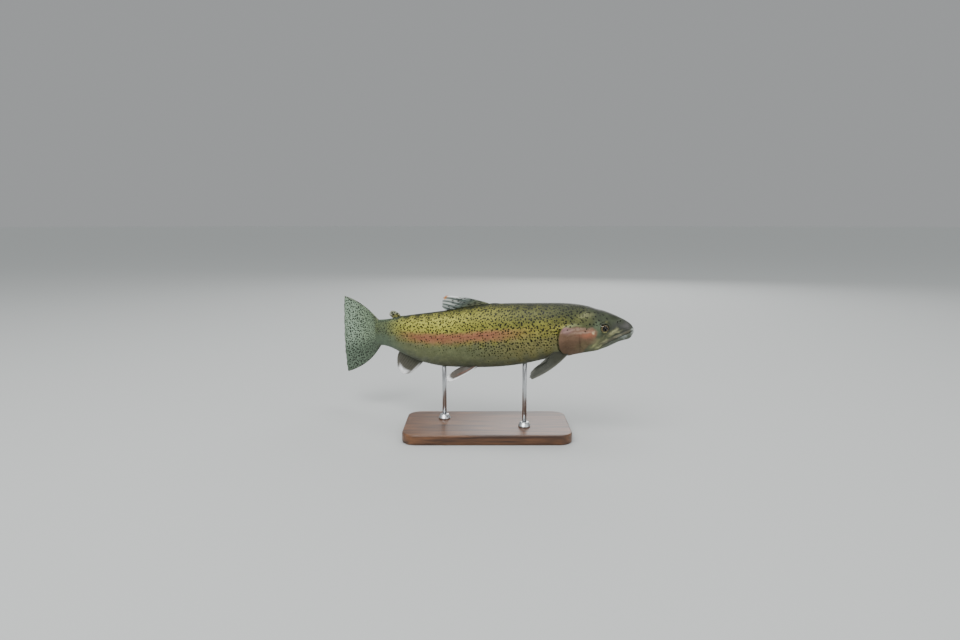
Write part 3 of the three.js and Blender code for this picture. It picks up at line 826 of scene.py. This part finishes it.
def near_features(s, turn, side):
    """The bands where the head's relief has sharp edges."""
    p = on_body(s, turn, side)
    head = s < HEAD_END
    near = np.full(len(s), False)
    hs, hz, ht = s[head], p[head, 2], turn[head]
    close = (line_distance(hs, hz, mouth_line)[0] < 1.9) & (hz > -24)
    close |= np.abs(loop_distance(hs, hz, upper_jaw)) < 1.3
    edge = loop_distance(hs, hz, head_line)
    close |= (edge > -2.6) & (edge < 1.6) & (gill_slit(hs, hz) > 0.1)
    orbit = eye_distance(p[head], side[head])
    close |= (orbit > 5.8) & (orbit < 11.5)
    for back, height, radius in NOSTRILS:
        close |= (np.hypot(hs - back, hz - height) < radius + 1.4) & (ht < 1.2)
    near[head] = close
    return near


def make_skin(material):
    bm = bmesh.new()
    bmesh.ops.create_uvsphere(bm, u_segments=SKIN_SIDES, v_segments=SKIN_RINGS, radius=1.0)
    refine(bm, lambda s, turn, side: s < FINE_END)
    refine(bm, near_features)
    s, turn, side, polar, around = on_ball(places(bm))
    p = skin_point(s, turn, side)
    move_to(bm, posed(p))
    skin = piece(bm, "skin", material)
    dress(skin, p, s, arc_of(s, turn), side)
    store_map(skin, np.stack([polar, (around / TAU + 0.75) % 1.0], -1))
    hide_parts("head", "lower_jaw", "gill_cover_right", "gill_cover_left",
                "upper_jaw_right", "upper_jaw_left", "trunk_front", "trunk_rear", "tail_stalk")


# ---- The scales ---------------------------------------------------------------------------------

SCALE_PITCH, ROW_PITCH = 3.3, 2.9  # along the body and between rows
SCALE = dict(front=-2.7, rear=2.6, half=2.15, thick=0.12, sunk=-0.14, lift=0.42)
SCALE_CORNERS = 10
FIRST_SCALE, LAST_SCALE = 58, 519
ROWS, SEAM_ROW = 40, 99  # the most rows over the lateral line, and the number of a seam's row
SEAM_GAP = 1.4  # the rows keep this far from the ridge and the keel


def hash_of(name):
    """A number that is the same each run, from a name."""
    return sum((i + 1) * ord(letter) for i, letter in enumerate(name))


def scale_shape():
    """One scale, as its corners and its faces' list: a thin plate with a slanted rim."""
    bm = bmesh.new()
    bmesh.ops.create_cone(bm, cap_ends=True, segments=SCALE_CORNERS, radius1=1.0, radius2=0.72,
                          depth=1.0)
    points = places(bm)
    faces = [[v.index for v in f.verts] for f in bm.faces]
    bm.free()
    return points, faces


def scale_roots(side, above):
    """Back, arc, row and height of each scale's middle on a quarter of the fish, row by row."""
    roots = []
    for row in range(0, ROWS) if above else range(-1, -ROWS, -1):
        back = np.arange(FIRST_SCALE + (row % 2) * SCALE_PITCH / 2, LAST_SCALE, SCALE_PITCH)
        arc = row * ROW_PITCH + SIDE_LINE + 4 * fade(back, 125, 200) * math.exp(-((row / 9) ** 2))
        low, high = arc_ends(back)
        keep = (arc < high - SEAM_GAP) & (arc > low + SEAM_GAP)
        roots.append(np.stack([back, arc, np.full(len(arc), row)], -1)[keep])
        if above and side < 0 and row == 0:  # one row straddles the keel, one the ridge
            for end in (low, high):
                roots.append(np.stack([back, end, np.full(len(back), SEAM_ROW)], -1))
    back, arc, row = np.vstack(roots).T
    z = on_body(back, turn_at(back, arc), np.full(len(back), side))[:, 2]
    clear_of_slit = lerp(-1.9, -5.2, gill_slit(back, z))
    grown = (loop_distance(back, z, head_line) < clear_of_slit) & (back > 60)
    return back[grown], arc[grown], row[grown], z[grown]


def make_scales(name, side, above, material):
    plate, faces = scale_shape()
    root_s, root_arc, root_row, root_z = scale_roots(side, above)
    luck = np.random.default_rng(hash_of(name))
    n, k = len(root_s), len(plate)
    along, across, up = plate[:, 0], plate[:, 1], plate[:, 2] + 0.5
    # The front half of the rim is blunt and sunk, and the rear half is a round, free edge.
    a = along * np.where(along < 0, -SCALE["front"], SCALE["rear"])
    b = across * SCALE["half"] * np.where(along < 0, 1.0, 0.97)
    # The first scales of the nape are small and lie low in the skin.
    grown = smoothstep(-loop_distance(root_s, root_z, head_line), 1.5, 16)
    grown = np.maximum(grown, fade(root_z, 12, 20))
    size = lerp(0.86, 1.0, smoothstep(root_s, 120, 190)) * lerp(0.72, 1.0, grown)
    size = size * lerp(1.0, 0.84, smoothstep(root_s, 400, 500)) * luck.uniform(0.95, 1.05, n)
    s = (root_s[:, None] + a * size[:, None]).ravel()
    arc = (root_arc[:, None] + b * size[:, None]).ravel()
    tilt = (a - SCALE["front"]) / (SCALE["rear"] - SCALE["front"])
    lift = SCALE["lift"] * lerp(0.35, 1.0, grown)
    height = SCALE["sunk"] + lift[:, None] * tilt + up * SCALE["thick"]
    height = height + 0.1 * (1 - across**2) * (up > 0.5)
    height = (height + luck.uniform(-0.03, 0.03, n)[:, None]).ravel()

    # A corner past the ridge or the keel lies on the other side.
    low, high = arc_ends(s)
    over, under = arc > high, arc < low
    arc = np.where(over, 2 * high - arc, np.where(under, 2 * low - arc, arc))
    sides = np.where(over | under, -side, side).astype(float)
    s = np.clip(s, 1, FLESH_END - 0.5)
    p = skin_point(s, turn_at(s, arc), sides, height)

    mesh = bpy.data.meshes.new(name)
    all_faces = [[start + v for v in face] for start in range(0, n * k, k) for face in faces]
    mesh.from_pydata(posed(p).tolist(), [], all_faces)
    mesh.materials.append(material)
    thing = put(name, mesh)
    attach(thing, "root")
    dress(thing, p, s, arc, sides)
    # The scales of the lateral line are told apart by a luck over 1.
    chance = 0.99 * luck.random(n) + (root_row == 0)
    fan = [np.tile(across, n), np.tile(along, n), np.repeat(chance, k)]
    store(thing, "fan", np.stack(fan, -1))
    low, high = arc_ends(root_s)
    home = np.stack([root_s / FLESH_END, (root_arc - low) / (high - low)], -1)
    near = np.stack([along, across], -1) * 0.0015
    store_map(thing, (0.01 + 0.98 * home[:, None] + near).reshape(-1, 2))


# ---- The fins -----------------------------------------------------------------------------------

# The base's and the tip's curves as in the part's source, with the lowest coat of paint.
FINS = {
    "dorsal_fin": dict(base=[(240, 0, 54), (310, 0, 46)],
                       tips=[(342, 0, 75), (349, 0, 64), (346, 0, 53)], ground="#63684a",
                       root=5, bow=(0, 0, 4.5), rays=12, rows=34, worn=0.05, wave=1.2, pleat=0.8),
    "adipose_fin": dict(base=[(431, 0, 32), (449, 0, 28)],
                        tips=[(439, 0, 43), (464, 0, 53), (468, 0, 38)], ground="#868348",
                        root=5, bow=(0, 0, 0), rays=3, rows=26, worn=0, wave=0.5, pleat=0),
    "tail_fin": dict(base=[(507, 0, 23), (507, 0, -22)],
                     tips=[(609, 0, 72), (625, 0, -4), (616, 0, -87)], ground="#90a587",
                     root=7.5, bow=(4, 0, 8), rays=19, rows=56, worn=0.018, wave=1.5, pleat=0),
    "anal_fin": dict(base=[(389, 0, -45), (440, 0, -26)],
                     tips=[(424, 0, -73), (460, 0, -85), (453, 0, -43)], ground="#484939",
                     root=5, bow=(-1, 0, -2), rays=11, rows=28, worn=0.04, wave=1.2, pleat=0.2),
    "pelvic_fin": dict(base=[(274, 13, -51), (291, 7, -54)],
                       tips=[(331, 30, -81), (346, 27, -72), (316, 18, -59)], ground="#4d4b42",
                       root=5, bow=(0, 2, -3), rays=9, rows=30, worn=0.04, wave=0.8, pleat=0.2),
    "pectoral_fin": dict(base=[(113, 8, -31), (134, 16, -25)],
                         tips=[(171, 49, -69), (182, 50, -57), (150, 34, -42)], ground="#3d3e30",
                         root=5.5, bow=(0, 3, -4), rays=12, rows=32, worn=0.04, wave=1.0, pleat=0.2),
}
PAIRED = ("pelvic_fin", "pectoral_fin")
COLUMNS_A_RAY = 10
MEMBRANE, RAY_HIGH, ADIPOSE_THICK = 0.5, 0.42, 2.2
FIN_SPOT_SPACING, TAIL_SPOTS_A_RAY = 4.1, 2


def fin_point(fin, side, ray, along):
    """A fin's middle sheet: ray runs from its leading edge, along from its root to its tip."""
    turned = np.array([-1.0, side, 1.0])
    first, last, start, corner, end = (np.array(p) * turned for p in fin["base"] + fin["tips"])
    ray, along = ray[:, None], along[:, None]
    tip = (1 - ray) ** 2 * start + 2 * ray * (1 - ray) * corner + ray**2 * end
    bow = np.array(fin["bow"]) * turned * 4 * along * (1 - along) * (1 - 2 * ray)
    return lerp(lerp(first, last, ray), tip, along) + bow


def branches(count, along):
    """How near each place is to a ray: 1 on its crest; rays split in two, and in two again."""
    q = np.abs((count % 1) - 0.5)
    q = np.abs(q - 0.25 * smoothstep(along, 0.25, 0.8))
    q = np.abs(q - 0.12 * smoothstep(along, 0.6, 1.05))
    return bump(q, 0, lerp(0.17, 0.075, smoothstep(along, 0.2, 0.9)))


def fin_paint(kind, ray, along, crest):
    """The colour of a fin, coat over coat, and the share of its cells that hold a spot."""
    many = np.zeros(len(ray))
    if kind == "tail_fin":
        coats = [("#66734c", fade(along, 0.0, 0.3)),
                 ("#a5baa6", 0.7 * smoothstep(along, 0.3, 0.9)),
                 ("#6d6a55", 0.5 * smoothstep(np.abs(ray - 0.5), 0.46, 0.5)),
                 ("#566050", 0.6 * smoothstep(along, 0.95, 1.0)),
                 # Painted shade over the lower lobe.
                 ("#4a5a48", 0.72 * smoothstep(ray, 0.5, 0.8))]
        many = 0.95 * smoothstep(along, 0.02, 0.12) * fade(along, 0.94, 1.0)
    elif kind == "dorsal_fin":
        rows = 0.5 + 0.5 * np.cos(TAU * (ray - 0.08) / 0.23 + 0.5 * np.sin(9 * along))
        pale = smoothstep(along, 0.4, 0.75) * lerp(1.0, 0.6, smoothstep(ray, 0.5, 0.9))
        coats = [("#5f6e67", smoothstep(along, 0.2, 0.55)),
                 ("#e6eae4", 0.85 * pale * smoothstep(rows, -0.1, 1.0)),
                 ("#ffffff", smoothstep(along, 0.5, 0.8) * fade(ray, 0.04, 0.14)),
                 ("#dc9a58", smoothstep(along, 0.93, 0.97) * fade(ray, 0.22, 0.34))]
        many = 0.5 * smoothstep(along, 0.05, 0.15) * fade(along, 0.6, 0.85)
    elif kind == "adipose_fin":
        rim = np.minimum(np.minimum(ray, 1 - ray) * 1.6, 1 - along)
        coats = [("#b3b79c", smoothstep(along, 0.5, 0.85)),
                 ("#4a4831", 0.6 * fade(rim, 0.02, 0.07))]
        many = 0.7 * smoothstep(along, 0.2, 0.3) * fade(along, 0.85, 0.95)
    elif kind == "anal_fin":
        tip = smoothstep(along, 0.66, 0.8) * fade(np.abs(ray - 0.42), 0.16, 0.36)
        lead = 0.7 * smoothstep(along, 0.1, 0.5) * fade(ray, 0.05, 0.12)
        coats = [("#5c5a4e", smoothstep(along, 0.1, 0.5)),
                 ("#6d6960", 0.7 * smoothstep(along, 0.5, 0.9)),
                 ("#ffffff", np.maximum(tip, lead))]
    elif kind == "pelvic_fin":
        tip = smoothstep(along - 0.3 * ray, 0.74, 0.84)
        lead = fade(ray, 0.06, 0.15) * smoothstep(along, 0.05, 0.2)
        coats = [("#625c53", smoothstep(along, 0.1, 0.45)),
                 ("#81594b", 0.7 * bump(ray, 0.26, 0.09) * fade(along, 0.5, 0.8)),
                 ("#ffffff", np.maximum(tip, lead))]
    else:
        coats = [("#42443a", smoothstep(along, 0.15, 0.6)),
                 ("#5f5e54", 0.8 * fade(ray, 0.03, 0.16)),
                 ("#575750", 0.6 * smoothstep(along, 0.85, 1.0))]
    colour = ground_of(FINS[kind]["ground"], len(ray))
    for code, mask in coats:
        colour = layer(colour, code, mask)
    return colour * lerp(0.88, 1.1, crest)[:, None], many


def make_fin(kind, name, side, material):
    fin = FINS[kind]
    fleshy = kind == "adipose_fin"
    bm = bmesh.new()
    bmesh.ops.create_grid(bm, x_segments=fin["rays"] * COLUMNS_A_RAY, y_segments=fin["rows"], size=1)
    made = bmesh.ops.extrude_face_region(bm, geom=bm.faces[:], use_keep_orig=True)["geom"]
    lifted = [v for v in made if isinstance(v, bmesh.types.BMVert)]
    bmesh.ops.translate(bm, verts=lifted, vec=(0, 0, 1))
    bmesh.ops.recalc_face_normals(bm, faces=bm.faces[:])
    grid = places(bm)
    ray, along, face = (grid[:, 0] + 1) / 2, (grid[:, 1] + 1) / 2, 2 * grid[:, 2] - 1
    count = ray * fin["rays"]
    crest = np.zeros(len(ray)) if fleshy else branches(count, along)

    phase = hash_of(name) % 7
    worn = 0.5 + 0.25 * np.sin(count * 1.7 + phase) + 0.25 * np.sin(count * 4.3 + 2 * phase)
    worn = worn + 0.5 * (1 - crest)
    reach = along * (1 - fin["worn"] * worn * smoothstep(along, 0.7, 1))
    middle = fin_point(fin, side, ray, reach)
    small = 1e-3
    across_rays = fin_point(fin, side, ray + small, reach) - middle
    along_ray = fin_point(fin, side, ray, reach + small) - middle
    normal = np.cross(across_rays, along_ray)
    normal /= np.linalg.norm(normal, axis=1, keepdims=True)
    sway = fin["wave"] * along**1.5 * np.sin(ray * 5 + phase)
    pleats = fin["pleat"] * np.sin(TAU * count) * np.sin(np.pi * np.clip(along * 0.8, 0, 1))
    if fleshy:
        thick = lerp(ADIPOSE_THICK, fin["root"], (1 - along) ** 2)
        thick = thick * np.sqrt(np.clip(4 * ray * (1 - ray), 0.02, 1)) * (1 - 0.8 * along**6)
    else:
        thick = lerp(MEMBRANE, fin["root"], (1 - along) ** 7)
        thick = thick + 2 * RAY_HIGH * crest * lerp(1, 0.3, along)
        thick = thick * lerp(1, 0.6, smoothstep(np.abs(ray - 0.5), 0.48, 0.5))
    move_to(bm, posed(middle + normal * (sway + pleats + face * thick / 2)[:, None]))
    thing = piece(bm, f"rayed_{name}", material)
    colour, many = fin_paint(kind, ray, along, crest)
    store(thing, "ground", colour)
    store(thing, "marks", np.stack([many, np.ones(len(ray)), crest], -1))
    whole = fin_point(fin, side, ray, np.ones(len(ray))) - fin_point(fin, side, ray, 0 * ray)
    cells = count * (TAIL_SPOTS_A_RAY if kind == "tail_fin" else 1) + 0.5
    store(thing, "lay", np.stack([np.linalg.norm(whole, axis=1) * reach,
                                  cells * FIN_SPOT_SPACING, 0 * ray], -1) * MM)
    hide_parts(name)


def fin_skin(name):
    """Varnished fin membrane over its rays: thin enough that light comes through."""
    material, add = new_material(name)
    lay = add("Attribute", attribute_name="lay").outputs["Vector"]
    marks = add("Attribute", attribute_name="marks").outputs["Vector"]
    many, wide, crest = add("SeparateXYZ", marks).outputs
    ground = add("Attribute", attribute_name="ground")
    tone = add("VectorMath", ground, Scale=mottle(add, lay, 9, 0.84, 1.14), operation="SCALE")
    drawn_out = add("VectorMath", lay, (0.74, 1, 1), operation="MULTIPLY")
    large = spots(add, drawn_out, many, wide, FIN_SPOT_SPACING, 0.27, 0.16, 0.07)
    inked = add("Mix", Factor=large, A=tone, B=SPOT_INK, data_type="RGBA")
    joints = add("TexWave", Vector=lay, Scale=per_mm(1.6) / 20, Distortion=1.0, Detail=1.0)
    raised = add("Math", joints.outputs["Fac"], crest, operation="MULTIPLY")
    raised = add("Bump", Height=raised, Strength=0.4, Distance=0.12 * MM)
    skin = add("BsdfPrincipled", Base_Color=inked, Roughness=0.42, IOR=1.4, Coat_Weight=0.15,
               Coat_Roughness=0.16, Normal=raised)
    through = add("BsdfTranslucent", Color=inked)
    add("OutputMaterial", add("MixShader", 0.3, skin, through))
    return material


# ---- The eyes -----------------------------------------------------------------------------------

CORNEA = dict(curve=13.2, reach=8.5, skin=0.3)
PUPIL_RADIUS = 4.7
# Radius and depth behind the cornea's crown: the lens in the pupil, the iris and the white.
EYE_PROFILE = [(0, -0.75), (1.4, -0.85), (2.8, -1.1), (4.4, -1.75), (4.9, -2.0), (5.6, -2.25),
               (6.5, -2.6), (7.7, -3.1), (8.4, -3.6), (8.3, -4.6), (6.5, -6.0), (3, -6.8), (0, -7)]


def set_in_orbit(bm, side):
    """Moves an eye's part from its own axes to its side's orbit."""
    look = gaze(side)
    ahead = np.cross(look, (0, 0, 1)) * side
    ahead = ahead / np.linalg.norm(ahead)
    ahead = ahead * np.sign(ahead[0])
    up = np.cross(look, ahead)
    up = up * np.sign(up[2])
    crown = eye_place(side) + look * EYE["proud"]
    own = places(bm)
    move_to(bm, posed(crown + own @ np.array([ahead, up, look])))
    bmesh.ops.recalc_face_normals(bm, faces=bm.faces[:])
    return own


def make_eye(side, ball_paint, clear):
    where = "left" if side > 0 else "right"
    bm = bmesh.new()
    spun(bm, EYE_PROFILE, 64)
    own = set_in_orbit(bm, side)
    ball = piece(bm, f"eyeball_{where}", ball_paint)
    store(ball, "iris", own)
    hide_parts(f"eye_{where}")

    curve = CORNEA["curve"]
    dome = [(r, math.sqrt(curve**2 - r**2) - curve) for r in np.linspace(0, CORNEA["reach"], 10)]
    inner = [(r * 0.97, h - CORNEA["skin"]) for r, h in reversed(dome)]
    bm = bmesh.new()
    spun(bm, dome + inner, 64)
    set_in_orbit(bm, side)
    piece(bm, f"cornea_{where}", clear)


def painted_iris(name):
    """Glass-eye paint: a black pupil in a thin gold ring, in a dark iris with brassy flecks."""
    material, add = new_material(name)
    own = add("Attribute", attribute_name="iris").outputs["Vector"]
    flat = add("VectorMath", own, (1, 1, 0), operation="MULTIPLY")
    radius = add("VectorMath", flat, operation="LENGTH")
    ahead, up, _ = add("SeparateXYZ", own).outputs
    # The pupil is drawn out a little towards the snout.
    lean = add("Math", ahead, radius, operation="DIVIDE")
    lean = add("Math", lean, 0.0, operation="MAXIMUM")
    lean = add("Math", lean, 5.0, operation="POWER")
    lean = add("Math", lean, -0.8, radius, operation="MULTIPLY_ADD")
    flecks = add("TexNoise", Vector=own, Scale=1.1, Detail=4.0, Roughness=0.65)
    bars = add("Math", up, radius, operation="DIVIDE")
    bars = add("Math", bars, operation="ABSOLUTE")
    gold = add("Math", bars, -0.3, flecks, operation="MULTIPLY_ADD")
    # Over the dark iris: flecks, the gold ring, a pale crescent below, the dark rim, the pupil.
    tone = "#100f09"
    for code, place, start, full, most in (
        ("#5e5433", gold, 0.2, 0.5, 1.0),
        ("#726345", lean, 6.3, 5.2, 1.0),
        ("#a09f5f", up, -4.8, -6.4, 0.75),
        ("#16150f", radius, 6.9, 7.8, 1.0),
        ("#030303", lean, PUPIL_RADIUS + 0.15, PUPIL_RADIUS - 0.1, 1.0),
    ):
        mask = add("MapRange", Value=place, From_Min=start, From_Max=full, To_Max=most)
        tone = add("Mix", Factor=mask, A=tone, B=code, data_type="RGBA")
    shine = add("MapRange", Value=lean, From_Min=PUPIL_RADIUS, From_Max=PUPIL_RADIUS + 0.3,
                To_Max=0.55)
    paint = add("BsdfPrincipled", Base_Color=tone, Metallic=shine, Roughness=0.35,
                Specular_IOR_Level=0.08)
    add("OutputMaterial", paint)
    return material


def clear_cornea(name):
    """Clear cast resin: only the room's reflection shows that it is there."""
    material, add = new_material(name)
    gloss = add("BsdfPrincipled", Base_Color="#ffffff", Metallic=1.0, Roughness=0.02)
    nothing = add("BsdfTransparent")
    # Schlick's rule for its gloss, shared between the outer and the inner face of the dome.
    edge_on = add("LayerWeight", Blend=0.5).outputs["Facing"]
    edge_on = add("Math", edge_on, 5.0, operation="POWER")
    edge_on = add("Math", edge_on, 0.5, 0.012, operation="MULTIPLY_ADD")
    add("OutputMaterial", add("MixShader", edge_on, nothing, gloss))
    return material


# ---- The stand ----------------------------------------------------------------------------------

ROD_SUNK = 8
ROD_IN_FLESH = 3


def make_stand(wood, steel):
    thick = BASE["thick"]
    bm = bmesh.new()
    bmesh.ops.create_cube(bm, size=1)
    bmesh.ops.scale(bm, verts=bm.verts[:], vec=(BASE["length"], BASE["width"], thick))
    bmesh.ops.translate(bm, verts=bm.verts[:], vec=(0, 0, thick / 2))
    edged = dict(offset_type="OFFSET", affect="EDGES", profile=0.5, material=-1)
    upright = [e for e in bm.edges if abs(e.verts[0].co.z - e.verts[1].co.z) > 1]
    bmesh.ops.bevel(bm, geom=upright, offset=BASE["corner"], segments=14, **edged)
    rims = [e for e in bm.edges if len(e.link_faces) == 2 and e.calc_face_angle() > 1]
    bmesh.ops.bevel(bm, geom=rims, offset=BASE["bevel"], segments=4, **edged)
    bmesh.ops.scale(bm, verts=bm.verts[:], vec=(MM, MM, MM))
    base = piece(bm, "display_base", wood)
    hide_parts("stand_base")

    r, high, neck = COLLAR["radius"], thick + COLLAR["height"], COLLAR["radius"] * COLLAR["taper"]
    for where, back in RODS.items():
        foot = posed(np.array([[-back, 0.0, 0.0]]))[0] / MM
        below = skin_point(np.array([float(back)]), np.array([-UP]), np.array([1.0]))
        top = posed(below)[0][2] / MM + ROD_IN_FLESH
        profiles = {
            "rod": [(0, thick - ROD_SUNK), (ROD_RADIUS, thick - ROD_SUNK), (ROD_RADIUS, top - 1),
                    (ROD_RADIUS - 1, top), (0, top)],
            "collar": [(ROD_RADIUS, thick), (r - 0.4, thick), (r, thick + 0.4), (r, thick + 2.2),
                       (r - 0.5, thick + 2.8), (neck + 0.5, high - 0.5), (neck - 0.4, high),
                       (ROD_RADIUS, high)],
        }
        for (name, profile), steps in zip(profiles.items(), (40, 56)):
            bm = bmesh.new()
            spun(bm, profile, steps)
            bmesh.ops.translate(bm, verts=bm.verts[:], vec=(foot[0], foot[1], 0))
            bmesh.ops.scale(bm, verts=bm.verts[:], vec=(MM, MM, MM))
            steel_piece = piece(bm, f"steel_{name}_{where}", steel)
            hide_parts(f"stand_{name}_{where}")


def oiled_walnut(name):
    """Oiled walnut, planed and sanded: a dark, silky board with fine streaks along it."""
    material, add = new_material(name)
    place = add("TexCoord").outputs["Object"]
    stretched = add("Mapping", Vector=place, Scale=(0.08, 1, 1))
    wavy = add("TexNoise", Vector=stretched, Scale=per_mm(9), Detail=5.0, Distortion=0.6)
    fine = add("TexNoise", Vector=stretched, Scale=per_mm(1.2), Detail=2.0)
    streak = add("MapRange", Value=wavy, From_Min=0.35, From_Max=0.65)
    tone = add("Mix", Factor=streak, A="#3a2416", B="#6f4a2e", data_type="RGBA")
    pores = add("MapRange", Value=fine, From_Min=0.3, From_Max=0.6, To_Min=0.72, To_Max=1.05)
    tone = add("VectorMath", tone, Scale=pores, operation="SCALE")
    raised = add("Bump", Height=fine, Strength=0.3, Distance=0.1 * MM)
    board = add("BsdfPrincipled", Base_Color=tone, Roughness=0.42, IOR=1.47, Coat_Weight=0.15,
                Coat_Roughness=0.3, Normal=raised)
    add("OutputMaterial", board)
    return material


def brushed_steel(name):
    """Stainless steel, brushed round the turned parts: a soft bright line along each."""
    material, add = new_material(name)
    place = add("TexCoord").outputs["Object"]
    rings = add("Mapping", Vector=place, Scale=(0.1, 0.1, 1))
    marks = add("TexNoise", Vector=rings, Scale=per_mm(0.5), Detail=2.0)
    rough = add("MapRange", Value=marks, To_Min=0.22, To_Max=0.36)
    metal = add("BsdfPrincipled", Base_Color="#c4c6c8", Metallic=1.0, Roughness=rough)
    add("OutputMaterial", metal)
    return material


# ---- The room -----------------------------------------------------------------------------------

# Each lamp's place and size in metres, and its strength in watts; all face the fish.
LAMPS = {
    "key": ((-1.0, -2.0, 2.7), 2.4, 118),
    "fill": ((2.4, -2.1, 1.2), 3.6, 32),
    "overhead": ((0.2, 0.3, 2.9), 2.2, 30),
    "back": ((0.7, 2.9, 1.6), 2.2, 36),
}
AIM = Vector((0, 0, 0.19))
FLOOR_RADIUS = 60
FLOOR_PAINT, HORIZON, ZENITH = "#aeb0af", "#a0a2a3", "#f6fafb"
CAMERA_PLACE = (-12.34, -1250.84, 384.47)
CAMERA_PITCH = 8  # degrees down
LENS, SENSOR = 26.25, 36


def light_room():
    for name, (place, size, watts) in LAMPS.items():
        lamp = bpy.data.lights.new(name, "AREA")
        lamp.shape = "DISK"
        lamp.size = size
        lamp.energy = watts
        thing = put(name, lamp)
        thing.location = place
        thing.rotation_euler = (AIM - Vector(place)).to_track_quat("-Z", "Y").to_euler()
    world = bpy.data.worlds.new("studio")
    world.use_nodes = True
    tree = world.node_tree
    add = node_adder(tree)
    up = add("SeparateXYZ", add("TexCoord").outputs["Generated"]).outputs["Z"]
    climb = add("MapRange", Value=up, From_Min=0.3, From_Max=0.85)
    sky = add("Mix", Factor=climb, A=HORIZON, B=ZENITH, data_type="RGBA")
    tree.links.new(sky.outputs[2], tree.nodes["Background"].inputs["Color"])
    bpy.context.scene.world = world


def lay_floor():
    """A pale, matt painted floor."""
    material, add = new_material("matt pale floor paint")
    add("OutputMaterial", add("BsdfPrincipled", Base_Color=FLOOR_PAINT, Roughness=0.85))
    bm = bmesh.new()
    bmesh.ops.create_circle(bm, cap_ends=True, segments=96, radius=FLOOR_RADIUS)
    mesh = bpy.data.meshes.new("floor")
    bm.to_mesh(mesh)
    bm.free()
    mesh.materials.append(material)
    floor = put("floor", mesh)


def set_camera():
    data = bpy.data.cameras.new("camera")
    data.lens = LENS
    data.sensor_width = SENSOR
    camera = put("camera", data)
    camera.location = Vector(CAMERA_PLACE) * MM
    camera.rotation_euler = (math.radians(90 - CAMERA_PITCH), 0, 0)
    bpy.context.scene.camera = camera


# ---- Everything ---------------------------------------------------------------------------------

make_skin(wet_skin("varnished wet skin", scaled=False))
scaled = wet_skin("varnished wet scales", scaled=True)
for side, where in ((1, "left"), (-1, "right")):
    make_scales(f"scales_back_{where}", side, True, scaled)
    make_scales(f"scales_belly_{where}", side, False, scaled)

membrane = fin_skin("varnished fin membrane")
for kind in FINS:
    if kind in PAIRED:
        make_fin(kind, f"{kind}_left", 1, membrane)
        make_fin(kind, f"{kind}_right", -1, membrane)
    else:
        make_fin(kind, kind, 1, membrane)

ball_paint = painted_iris("painted glass eye")
clear = clear_cornea("clear resin cornea")
make_eye(1, ball_paint, clear)
make_eye(-1, ball_paint, clear)

make_stand(oiled_walnut("oiled walnut"), brushed_steel("brushed stainless steel"))
light_room()
lay_floor()
set_camera()
